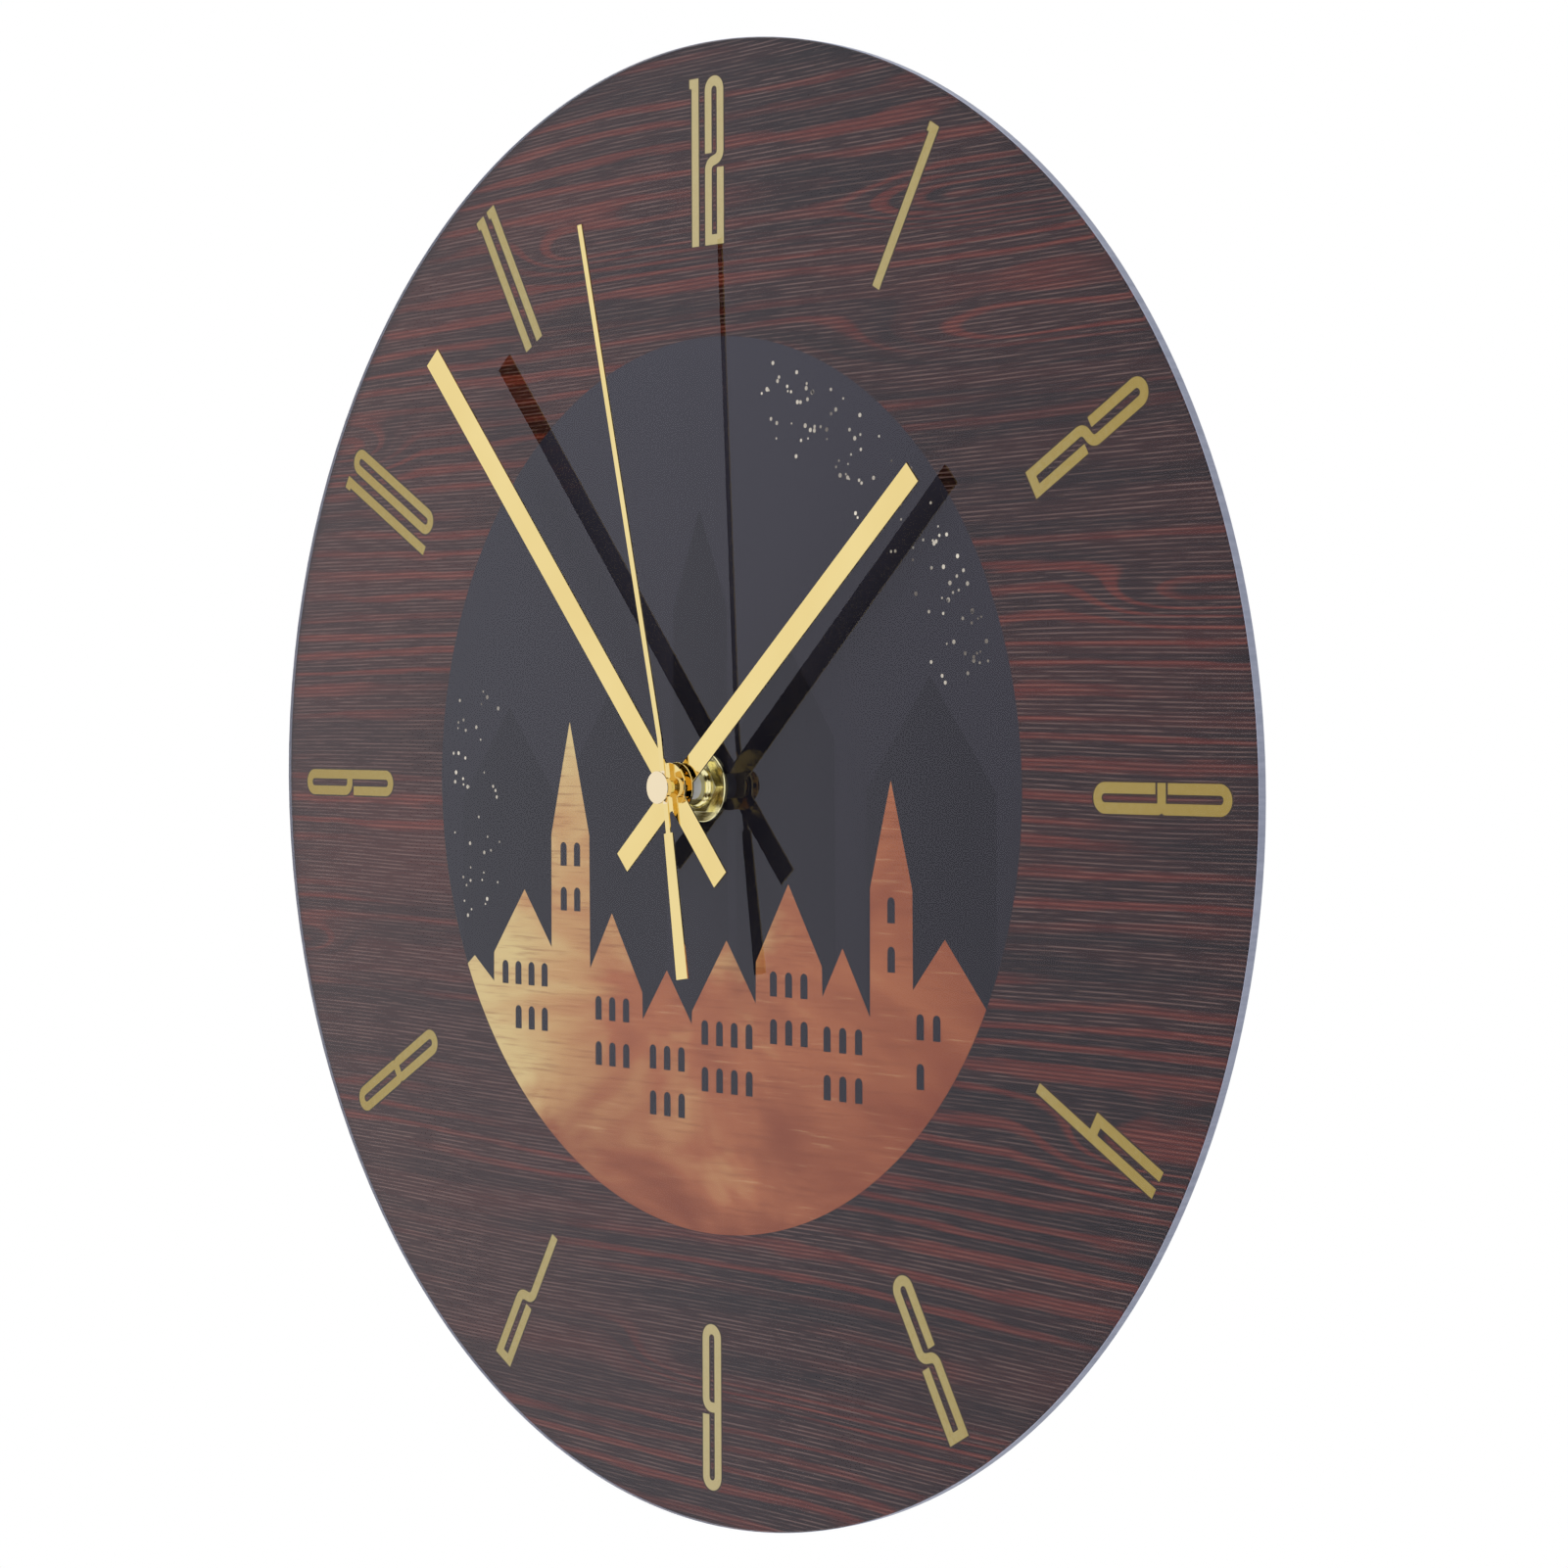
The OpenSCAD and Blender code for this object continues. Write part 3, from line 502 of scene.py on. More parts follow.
def skyline(houses, columns=2400):
    """For u across the panel: top = the highest roof there, kept inside the rim, and bottom = the rim,
    -sqrt(R^2 - u^2)."""
    u = PANEL_R * np.cos(np.linspace(np.pi, 0, columns))
    rim = np.sqrt(np.maximum(PANEL_R**2 - u**2, 0))
    at, width, eave, ridge = np.array(houses, float).T[:, :, None]
    share = 1 - np.abs(u - at) / (width / 2)
    roofs = np.where(share >= 0, eave + (ridge - eave) * share, -PANEL_R)
    top = np.clip(np.maximum(roofs.max(axis=0), GROUND), -rim, rim)
    return np.stack([u, top], axis=-1), np.stack([u, -rim], axis=-1)


def town(houses, layer):
    """The strip between a skyline and the rim below it."""
    return swept(slab_section(*skyline(houses), layer))


# %% [markdown]
# The copper colour of the town gets deeper to the right and towards the foot. A cloud makes it uneven, as
# metal foil is, and fine brushed lines run across it.

# %% Town print
COPPER_TONES = [
    (0.05, (0.46, 0.345, 0.155)),
    (0.30, (0.37, 0.205, 0.085)),
    (0.56, (0.270, 0.088, 0.036)),
    (0.95, (0.165, 0.040, 0.017)),
]
COPPER_SLOPE = 5.0
COPPER_MEAN = 0.34
COPPER_CLOUD = 1.5
COPPER_FOOT = (0.125, 0.026, 0.008)
COPPER_DEEP = (0.14, 0.035, 0.012)
COPPER_PALE = (0.48, 0.31, 0.16)
FOOT_FROM = -48
FOOT_FULL = -86


def copper_print():
    """A ramp over mean + slope * (x - z) plus a cloud, then the foot, deep lines and pale lines over it."""
    copper = ink("copper_print")
    x, y, z = copper.axes()
    side = copper.math("MULTIPLY_ADD", x, COPPER_SLOPE, COPPER_MEAN)
    side = copper.math("MULTIPLY_ADD", z, -COPPER_SLOPE, side)
    cloud = copper.noise(copper.mapped((15, 1, 34), turn=(0, 0.05, 0)), detail=4.0, rough=0.62, distort=0.5)
    tone = copper.math("MULTIPLY_ADD", copper.math("SUBTRACT", cloud, 0.5), COPPER_CLOUD, side)
    low = copper.times(copper.step(z, FOOT_FROM * MM, FOOT_FULL * MM), copper.step(cloud, 0.30, 0.62))
    brushed = copper.noise(copper.mapped((45, 1, 1000)), detail=3.0, rough=0.7)
    deep = copper.times(copper.step(brushed, 0.50, 0.32), 0.40)
    pale = copper.times(copper.step(brushed, 0.58, 0.74), 0.35)
    colour = copper.mix(copper.times(low, 0.75), copper.ramp(tone, COPPER_TONES), COPPER_FOOT)
    colour = copper.mix(deep, colour, COPPER_DEEP)
    copper.feed("Base Color", copper.mix(pale, colour, COPPER_PALE))
    return copper.material


shade = mottled_ink("far_roofs_print", (30, 1, 12), (0.0064, 0.0060, 0.0088), (0.0094, 0.0088, 0.0122))
make_piece("far_roofs_print", town(FAR_HOUSES, SHADE_INK), shade)
make_piece("town_print", town(HOUSES, MAIN_INK), copper_print())

# %% [markdown]
# ### Windows
# Windows repeat, so one arched outline is copied by a formula to every storey of every house. They have the
# colour of the panel, as if it showed through.

# %% Windows
WINDOW_W = 2.1
WINDOW_H = 5.0
WINDOW_PITCH = 4.6
WINDOW_MARGIN = 5
WALL_SIDES = 3
EAVE_GAP = 1.5
STOREY = 9.5
STOREYS = 2


def prisms(outline, centres, layer):
    """Copies of one convex outline, each moved to a centre: front loop, back loop, walls between them."""
    back, front = ink_levels(layer)
    corners = len(outline)
    loops = np.asarray(centres, float)[:, None] + np.asarray(outline, float)[None]
    both = np.stack([on_dial(loops, front), on_dial(loops, back)], axis=1)
    walls = grid_faces(2, corners, wrap_columns=True)
    one = walls + [list(range(corners)), list(range(corners, 2 * corners))]
    faces = [[c + 2 * corners * k for c in face] for k in range(len(loops)) for face in one]
    return both.reshape(-1, 3), faces


def arch():
    """A window: a square foot and half a circle on top."""
    t = np.linspace(0, np.pi, 9)
    half = WINDOW_W / 2
    top = half * on_circle(t) + [0.0, WINDOW_H - half]
    return np.concatenate([[[-half, 0.0], [half, 0.0]], top])


def window_places(houses):
    """Feet of the windows: even steps across each house, storeys down from its eave, inside the panel."""
    places = []
    for at, width, eave, ridge in houses:
        count = int((width - WALL_SIDES) // WINDOW_PITCH)
        across = at + WINDOW_PITCH * (np.arange(count) - (count - 1) / 2)
        storeys = eave - WINDOW_H - EAVE_GAP - STOREY * np.arange(STOREYS)
        u, v = np.meshgrid(across, storeys)
        places.append(np.stack([u.ravel(), v.ravel()], axis=-1))
    places = np.concatenate(places)
    return places[np.hypot(*places.T) < PANEL_R - WINDOW_MARGIN]


windows = prisms(arch(), window_places(HOUSES), DETAIL_INK)
make_piece("window_print", windows, night)

# %% [markdown]
# ### Stars
# Stars are small discs, thrown over the sky with a fixed seed so that every run gives the same night. Most
# lie on a bow at the upper right, the rest on a short one at the lower left.

# %% Stars
STARS = 150
STAR_SEED = 7
STAR_MARGIN = 4
STAR_BAND = 17
RIM_PULL = 1.6
STAR_R = (0.22, 0.50)
UPPER_BOW = (15, 80)
LOWER_BOW = (165, 200)
UPPER_SHARE = 0.72
STAR_DIM = (0.35, (0.10, 0.085, 0.07))
STAR_BRIGHT = (0.65, (0.55, 0.50, 0.42))


def star_places():
    """Seeded places on a bow round the upper right of the panel and on a short one at its lower left,
    denser towards the rim, and a radius for each star."""
    draw = np.random.default_rng(STAR_SEED)
    upper = draw.random(STARS) < UPPER_SHARE
    turn = np.radians(np.where(upper, draw.uniform(*UPPER_BOW, STARS), draw.uniform(*LOWER_BOW, STARS)))
    reach = PANEL_R - STAR_MARGIN - STAR_BAND * draw.random(STARS) ** RIM_PULL
    return reach[:, None] * on_circle(turn), draw.uniform(*STAR_R, STARS)


def star_shapes():
    """Each star is an eight-sided disc of its own radius."""
    places, sizes = star_places()
    disc = on_circle(full_turn(8))
    return joined([prisms(disc * size, place[None], DETAIL_INK) for place, size in zip(places, sizes)])


def star_print():
    """A noise coarser than a star, so that whole stars are dim or bright."""
    star = ink("star_print")
    glow = star.noise(star.place, scale=70.0, detail=2.0)
    star.feed("Base Color", star.ramp(glow, [STAR_DIM, STAR_BRIGHT]))
    return star.material


make_piece("star_print", star_shapes(), star_print())

# %% [markdown]
# ## Numerals
# The numerals are tall and narrow and have one even stroke, like the line of a broad pen. So the first
# helper is the pen, a strip of even width along a path. Where two lines meet, the strip has a mitre, or its
# outer corner would be cut off. The second helper rounds the corners of a path, each with its own radius.

# %% Pen strokes
SAME_PLACE = 1e-6


def strip(path, width, layer, closed=False):
    """A bar of even width along a path. Each point moves half a width to both sides along the mitred
    normal (n1 + n2) / (1 + n1.n2) of the two lines that meet there."""
    path = np.asarray(path, float)
    ahead = np.roll(path, -1, axis=0) - path
    if not closed:
        ahead[-1] = ahead[-2]
    ahead = ahead / np.linalg.norm(ahead, axis=1, keepdims=True)
    behind = np.roll(ahead, 1, axis=0)
    if not closed:
        behind[0] = ahead[0]
    n1 = np.stack([-behind[:, 1], behind[:, 0]], axis=-1)
    n2 = np.stack([-ahead[:, 1], ahead[:, 0]], axis=-1)
    mitre = (n1 + n2) / (1 + np.sum(n1 * n2, axis=1, keepdims=True))
    return swept(slab_section(path + mitre * width / 2, path - mitre * width / 2, layer), closed)


def rounded(corners, radii, closed=False, steps=10):
    """Corners joined by straight lines. A corner b with radius r becomes the arc round the centre
    b + r / sin(half angle) along its bisector, which touches both lines."""
    corners = np.asarray(corners, float)
    path = []
    for k, (b, r) in enumerate(zip(corners, radii)):
        if r == 0 or (not closed and k in (0, len(corners) - 1)):
            path.append(b[None])
            continue
        to_a = corners[k - 1] - b
        to_c = corners[(k + 1) % len(corners)] - b
        to_a = to_a / np.linalg.norm(to_a)
        to_c = to_c / np.linalg.norm(to_c)
        half = math.acos(np.clip(to_a @ to_c, -1, 1)) / 2
        middle = to_a + to_c
        centre = b + middle / np.linalg.norm(middle) * r / math.sin(half)
        start = b + to_a * r / math.tan(half) - centre
        end = b + to_c * r / math.tan(half) - centre
        turn = np.pi - 2 * half
        share = np.linspace(0, 1, steps)[:, None]
        arc = (start * np.sin((1 - share) * turn) + end * np.sin(share * turn)) / math.sin(turn)
        path.append(centre + arc)
    path = np.concatenate(path)
    apart = np.linalg.norm(path - np.roll(path, 1, axis=0), axis=1) > SAME_PLACE
    if not closed:
        apart[0] = True
    return path[apart]


# %% [markdown]
# ### Digits as paths for the pen
# A digit is a list of corners with a radius for each. A radius of half the width makes a round end, a
# radius of zero a square one. A five is a two with top and bottom changed, and a six is a nine after half a
# turn, so these two are worked out from the others. The one follows later, with pens of its own.

# %% Digit strokes
NUMERAL_H = 33.9
NUMERAL_W = 5.75
STROKE = 2.05
BEND = 1.85
BEND_DROP = 0.5
END_UP = 0.545 * NUMERAL_H
END_LOW = 0.455 * NUMERAL_H
NOTCH_U = 0.5
NOTCH_V = 0.9
WAIST_R = 1.1
FOUR_DROP = 1.0

half_w = (NUMERAL_W - STROKE) / 2
low_v = STROKE / 2
top_v = NUMERAL_H - STROKE / 2
mid_v = NUMERAL_H / 2
four_bar = mid_v - FOUR_DROP


def flipped(strokes, across):
    """The same strokes with top and bottom changed: mirrored for across = 1, after half a turn for -1."""
    foot = np.array([0.0, NUMERAL_H])
    return [(foot + np.array(corners) * [across, -1], radii, closed) for corners, radii, closed in strokes]


def digit_strokes(digit):
    """Pen paths of a digit: (corners, radii, closed), u across from its middle and v up from its foot."""
    a = r = half_w
    notch = (a - NOTCH_U, mid_v)
    high_bend = (a, mid_v + BEND_DROP)
    low_bend = (-a, mid_v - BEND_DROP)
    two = [(
        [(-a, END_UP), (-a, top_v), (a, top_v), high_bend, low_bend, (-a, low_v), (a, low_v), (a, END_LOW)],
        [0, r, r, BEND, BEND, 0, 0, 0], False,
    )]
    nine = [(
        [(a - STROKE / 2, mid_v), (-a, mid_v), (-a, top_v), (a, top_v), (a, low_v), (-a, low_v),
         (-a, END_LOW)],
        [0, BEND, r, r, r, r, 0], False,
    )]
    strokes = {
        0: [([(-a, low_v), (-a, top_v), (a, top_v), (a, low_v)], [r] * 4, True)],
        2: two,
        3: [
            ([(-a, END_UP), (-a, top_v), (a, top_v), (a, mid_v + NOTCH_V), notch, (a, mid_v - NOTCH_V),
              (a, low_v), (-a, low_v), (-a, END_LOW)], [0, r, r, 0, 0, 0, r, r, 0], False),
            ([notch, (-a - STROKE / 2, mid_v)], [0, 0], False),
        ],
        4: [
            ([(a, 0), (a, NUMERAL_H)], [0, 0], False),
            ([(-a, NUMERAL_H), (-a, four_bar), (a, four_bar)], [0, 0, 0], False),
        ],
        5: flipped(two, 1),
        6: flipped(nine, -1),
        7: [(
            [(-a, END_UP), (-a, top_v), (a, top_v), high_bend, low_bend, (-a, 0)],
            [0, 0, 0, BEND, BEND, 0], False,
        )],
        8: [
            ([(-a, mid_v), (-a, top_v), (a, top_v), (a, mid_v)], [WAIST_R, r, r, WAIST_R], True),
            ([(-a, low_v), (-a, mid_v), (a, mid_v), (a, low_v)], [r, WAIST_R, WAIST_R, r], True),
        ],
        9: nine,
    }
    return strokes[digit]


# %% [markdown]
# ### Hours round the dial
# An hour sets its digits side by side, moves them out to the ring of the numerals and turns them to their
# place, top outwards. The one has two straight pens, a stem and a small flag. Where strokes of a digit
# cross, each lies a hair in front of the one before, so that no two faces share a plane.

# %% Hours
HOUR_TURN = 30
NUMERAL_IN = 109.25
STEM_W = 2.15
FLAG_W = 0.7
FLAG_H = 1.9
DIGIT_GAP = 2.0
ONES_GAP = 1.35
STROKE_LIFT = 0.2
# sideways places of the hours 1 to 12: most stand a little to the left of their hour's line
NUMERAL_SHIFT = [-4.4, -2.5, 0.4, -2.3, -2.4, -0.9, -2.4, -2.5, -1.0, -1.1, -2.7, 0.7]


def digit_shapes(digit, shift, grow):
    """Pen paths of one digit, moved sideways by shift, with pens wider by grow."""
    if digit == 1:
        stem = [(shift + FLAG_W / 2, 0), (shift + FLAG_W / 2, NUMERAL_H)]
        flag_v = NUMERAL_H - FLAG_H / 2
        flag = [(shift - (STEM_W + FLAG_W) / 2 - grow / 2, flag_v), (shift, flag_v)]
        pens = [(stem, STEM_W + grow), (flag, FLAG_H + grow)]
        return [(np.asarray(path, float), width, False) for path, width in pens]
    shapes = []
    for corners, radii, closed in digit_strokes(digit):
        path = rounded(corners, radii, closed) + np.array([shift, 0.0])
        shapes.append((path, STROKE + grow, closed))
    return shapes


def numeral(hour, grow, layer):
    """The digits of an hour side by side, turned clockwise by 30 degrees an hour, foot at the inner ring."""
    digits = [int(c) for c in str(hour)]
    widths = [STEM_W + FLAG_W if d == 1 else NUMERAL_W for d in digits]
    gap = ONES_GAP if hour == 11 else DIGIT_GAP
    total = sum(widths) + gap * (len(digits) - 1)
    turn = math.radians(HOUR_TURN * hour)
    across = np.array([math.cos(turn), -math.sin(turn)])
    out = np.array([math.sin(turn), math.cos(turn)])
    shapes = []
    left = NUMERAL_SHIFT[hour - 1] - total / 2
    for digit, width in zip(digits, widths):
        for k, (path, pen, closed) in enumerate(digit_shapes(digit, left + width / 2, grow)):
            path = path[:, :1] * across + (NUMERAL_IN + path[:, 1:]) * out
            shapes.append(strip(path, pen, layer + STROKE_LIFT * k, closed))
        left += width + gap
    return shapes


# %% [markdown]
# The gold of the numerals is paler near the middle of the dial and deeper towards both sides, so its ramp
# reads the distance |x|. A fine mottle is added to it, because printed gold is never quite even. A slightly
# wider, dark set of strokes lies under the gold, as the print has a soft dark edge there.

# %% Numeral print
EDGE_GROW = 0.7
GOLD_MOTTLE = 0.5
GOLD_TONES = [
    (0.02, (0.350, 0.288, 0.134)),
    (0.42, (0.284, 0.226, 0.084)),
    (0.75, (0.252, 0.184, 0.043)),
    (0.95, (0.234, 0.165, 0.032)),
]


def gold_print():
    """A ramp over |x| / R plus a mottle."""
    gold = ink("gold_print", 0.55)
    x, y, z = gold.axes()
    mottle = gold.noise(gold.place, scale=900.0, detail=3.0)
    side = gold.math("DIVIDE", gold.math("ABSOLUTE", x), dial_r)
    tone = gold.math("MULTIPLY_ADD", gold.math("SUBTRACT", mottle, 0.5), GOLD_MOTTLE, side)
    gold.feed("Base Color", gold.ramp(tone, GOLD_TONES))
    return gold.material


def all_hours(grow, layer):
    """The strokes of the hours 1 to 12 as one shape."""
    return joined([shape for hour in range(1, 13) for shape in numeral(hour, grow, layer)])


edge = mottled_ink("numeral_edge_print", (120, 1, 500), (0.010, 0.006, 0.004), (0.045, 0.022, 0.010))
make_piece("numeral_edge_print", all_hours(EDGE_GROW, SHADE_INK), edge)
make_piece("numeral_print", all_hours(0.0, MAIN_INK), gold_print())

# %% [markdown]
# ## The sawn edge of the disc
# The faces of the disc are polished but its edge is sawn, so it looks frosted and pale. A thin band round
# the disc stands for that skin: a rectangle carried round the axis, which stops just short of the front.

# %% Frosted edge
EDGE_SKIN = 0.12
EDGE_OUT = 0.03
EDGE_FRONT = 0.25


def revolved(r, y, t):
    """Closed sections round the axis of the hands, one for each angle: (r cos t, y, r sin t)."""
    return swept(np.stack([r * np.cos(t), y + 0 * (r + t), r * np.sin(t)], axis=-1), closed=True)


def lathe(profile, steps=256):
    """One closed profile of (r, y) for all angles."""
    return revolved(*np.asarray(profile, float).T, full_turn(steps)[:, None])


def frosted_edge():
    """Saw marks: a noise that is stretched along y, in the colour and in the bump."""
    frost = Finish("frosted_edge", Roughness=0.5, IOR=1.49)
    saw = frost.noise(frost.mapped((900, 120, 900)), detail=3.0, rough=0.6)
    frost.feed("Base Color", frost.between(saw, (0.225, 0.245, 0.330), (0.300, 0.320, 0.415)))
    frost.bump(saw, 0.25, 0.00005)
    return frost.material


edge_r = dial_r + EDGE_OUT * MM
skin_r = edge_r - EDGE_SKIN * MM
skin_y = face_y + EDGE_FRONT * MM
edge_band = lathe([(skin_r, film_high.y), (edge_r, film_high.y), (edge_r, skin_y), (skin_r, skin_y)])
make_piece("frosted_edge", edge_band, frosted_edge())

# %% [markdown]
# ## The thread of the neck
# A screw thread is a lathe profile whose radius depends on the angle as well: one turn of t must move the
# pattern along by one pitch. So the flank is a triangle wave of (distance / pitch + t / 2 pi), which joins
# up with itself after a full turn. It fades out at the flange and into the bevel at the front.

# %% Thread
NECK_R = 4.0
BORE_R = 2.6
THREAD_DEPTH = 0.36
PITCH = 0.75
FLANGE_T = 0.8
BEVEL = 0.3


def threaded_neck(stations=150, steps=96):
    """Closed section per angle: bore at the back, flange, thread stations, bevelled front, bore in front."""
    t = full_turn(steps)[:, None]
    back, front = bush_high.y / MM, bush_low.y / MM
    flange_r = bush_high.x / MM
    y = np.linspace(back - FLANGE_T, front + BEVEL, stations)[None]
    wave = np.abs(((y / PITCH + t / (2 * np.pi)) % 1) * 2 - 1)
    fade = np.clip((back - FLANGE_T - y) / PITCH, 0, 1)
    r = NECK_R - THREAD_DEPTH * wave * fade
    whole = np.ones_like(t)
    end = np.minimum(r[:, -1:], NECK_R - BEVEL)
    r = np.concatenate([whole * [BORE_R, flange_r, flange_r], r, end, whole * BORE_R], axis=1)
    y = np.concatenate([[back, back, back - FLANGE_T], y[0], [front, front]])
    return revolved(r * MM, y * MM, t)


# %% [markdown]
# ## The nut and the washer
# The nut is cut from hexagon bar. In polar form a hexagon is r(t) = half the width over its flats / cos of
# the angle from the nearest flat, so it is a lathe profile again, with a radius that follows t. The angles
# stop just short of each corner, which leaves a narrow bevel there. The edges are only just broken, as on a
# thin nut, and the hole is countersunk. The washer is stamped, so its front rim is round.

# %% Nut and washer
NUT_EDGE = 0.06
COUNTERSINK = 0.3
CORNER_BEVEL = 0.7
NUT_PLAY = 0.03
WASHER_PLAY = 0.1
WASHER_ROUND = 0.22


def sharp_nut(steps=16):
    """Closed section per angle: hole, back, flat with two fine bevels, front face, countersink."""
    sixth = np.radians(np.linspace(CORNER_BEVEL, 60 - CORNER_BEVEL, steps))
    t = (np.radians(60 * np.arange(6))[:, None] + sixth).reshape(-1, 1)
    r = nut_high.z / MM / np.cos(t % (np.pi / 3) - np.pi / 6)
    hole = np.full_like(t, NECK_R + NUT_PLAY)
    back, front, e = nut_high.y / MM, nut_low.y / MM, NUT_EDGE
    r = np.concatenate([hole, r - e, r, r, r - e, hole + COUNTERSINK, hole], axis=1)
    y = np.array([back, back, back - e, front + e, front, front, front + COUNTERSINK])
    return revolved(r * MM, y * MM, t)


def round_washer():
    """A flat ring whose front rim is a quarter circle: (R - p + p cos a, front + p - p sin a)."""
    a = np.linspace(0, np.pi / 2, 8)
    outer, front, p = washer_high.x / MM, washer_low.y / MM, WASHER_ROUND
    rim = np.stack([outer - p + p * np.cos(a), front + p - p * np.sin(a)], axis=-1)
    hole, back = NECK_R + WASHER_PLAY, washer_high.y / MM
    profile = np.concatenate([[(hole, back), (outer, back)], rim, [(hole, front)]])
    return lathe(profile * MM)


# %% [markdown]
# ## Hands with fine edges
# A mirror shows every edge, so the hands are drawn again with smooth hubs and a small bevel. A blade is a
# bevelled rectangle carried along the hand, from the tail to the tip, with a width and a height at each
# station. A hub is a ring turned round the axis. It stands a hair prouder than the blade, so that the two
# faces don't lie in one plane.

# %% Hand shapes
HAND_T = 0.4
HAND_BEVEL = 0.05
HUB_PROUD = 0.02
HUB_OVERLAP = 1.2


def clock_hand(local, angle):
    """Points (across, along, height) in millimetres, with the hand turned clockwise from twelve o'clock."""
    turn = math.radians(angle)
    across, along, height = local[..., 0], local[..., 1], local[..., 2]
    u = along * math.sin(turn) + across * math.cos(turn)
    v = along * math.cos(turn) - across * math.sin(turn)
    return np.stack([u, -height, v], axis=-1) * MM


def blade(stations, angle):
    """A bevelled bar through stations of (along, width, height of its back)."""
    along, width, base = np.asarray(stations, float).T[:, :, None]
    e = HAND_BEVEL
    side = np.array([-1, 1, 1, 1, 1, -1, -1, -1])
    inset = np.array([e, e, 0, 0, e, e, 0, 0])
    rise = np.array([HAND_T, HAND_T, HAND_T - e, e, 0, 0, e, HAND_T - e])
    local = np.broadcast_arrays(side * (width / 2 - inset), along, base + rise)
    return swept(clock_hand(np.stack(local, axis=-1), angle))


def turned_ring(profile, steps=128):
    """A profile of (radius, height), in millimetres, turned round the axis of the hands."""
    return lathe([(r * MM, -z * MM) for r, z in profile], steps)


def hub_ring(hole_r, hub_r, base):
    """A flat hub with bevelled rims, from the hole to its edge."""
    low, top, e = base - HUB_PROUD, base + HAND_T + HUB_PROUD, HAND_BEVEL
    return turned_ring([
        (hole_r, low), (hub_r - e, low), (hub_r, low + e), (hub_r, top - e), (hub_r - e, top), (hole_r, top),
    ])


def baton(angle, base, hub_r, hole_r, tail, reach, tail_w, hub_w, tip_w, lean):
    """A straight hand: hub, blade to the tip that leans by some degrees, and tail."""
    start = hub_r - HUB_OVERLAP
    rise = math.tan(math.radians(lean))
    ahead = [(start, hub_w, base + start * rise), (reach, tip_w, base + reach * rise)]
    behind = [(-tail, tail_w, base), (-start, hub_w, base)]
    return [hub_ring(hole_r, hub_r, base), blade(ahead, angle), blade(behind, angle)]


# %% [markdown]
# The heights come from the solids: the front of the neck is read from its box, and the hour hand, minute
# hand and second hand follow it one above the other. The second hand has a flat start and then leans away
# from the dial, and a wide tail. A round cap on a short tube covers its middle.

# %% Hands
HOUR_GAP = 4.0
MINUTE_GAP = 1.5
SECOND_GAP = 1.05
CAP_GAP = 1.4
HOUR_BASE = -bush_low.y / MM + HOUR_GAP
MINUTE_BASE = HOUR_BASE + HAND_T + MINUTE_GAP
SECOND_BASE = MINUTE_BASE + HAND_T + SECOND_GAP
CAP_BASE = SECOND_BASE + HAND_T + CAP_GAP
CAP_R = 3.3
CAP_ROUND = 0.12
CAP_WALL = 0.55
CAP_TUBE_R = 2.15
TUBE_OVERLAP = 0.4
PIN_R = 0.51
COLLET_R = 2.5
COLLET_H = 1.1
ARBOR_R = 1.41
HOUR_TUBE_R = 2.56
SHOULDER = 9.2
SHOULDER_L = 0.1


def second_parts(angle, bend, reach, lean, needle_w, tail, tail_w, tail_end_w):
    """Needle, tail, and the cap with its tube round a blind hole for the pin."""
    start, base = CAP_TUBE_R - TUBE_OVERLAP, SECOND_BASE
    tip = base + (reach - bend) * math.tan(math.radians(lean))
    needle = blade([(start, needle_w, base), (bend, needle_w, base), (reach, needle_w, tip)], angle)
    back = blade([
        (-tail, tail_end_w, base), (-SHOULDER - SHOULDER_L, tail_w, base),
        (-SHOULDER, needle_w, base), (-start, needle_w, base),
    ], angle)
    bottom, low, top, e = base - HUB_PROUD, CAP_BASE, CAP_BASE + HAND_T, CAP_ROUND
    cap = turned_ring([
        (0, top - CAP_WALL), (PIN_R, top - CAP_WALL), (PIN_R, bottom), (CAP_TUBE_R, bottom),
        (CAP_TUBE_R, low), (CAP_R - e, low), (CAP_R, low + e), (CAP_R, top - e),
        (CAP_R - 0.3 * e, top - 0.3 * e), (CAP_R - e, top), (0, top),
    ])
    return [needle, back, cap]


hour_parts = baton(
    angle=48.3, base=HOUR_BASE, hub_r=5.0, hole_r=HOUR_TUBE_R, tail=23.6, reach=90.7,
    tail_w=4.85, hub_w=4.95, tip_w=4.85, lean=-1.2,
)
minute_parts = baton(
    angle=319.2, base=MINUTE_BASE, hub_r=4.9, hole_r=ARBOR_R, tail=24.0, reach=120.8,
    tail_w=4.85, hub_w=4.85, tip_w=5.1, lean=0.4,
)
collet_low = MINUTE_BASE - COLLET_H
minute_parts.append(turned_ring([
    (ARBOR_R, collet_low), (COLLET_R, collet_low), (COLLET_R, MINUTE_BASE), (ARBOR_R, MINUTE_BASE),
]))
hand_parts = {"hour": hour_parts, "minute": minute_parts, "second": second_parts(
    angle=351.9, bend=10.0, reach=114.6, lean=4.5, needle_w=1.35, tail=38.7, tail_w=2.7, tail_end_w=3.5,
)}
print("hour, minute and second hand", np.round([HOUR_BASE, MINUTE_BASE, SECOND_BASE], 2), "mm from the wall")
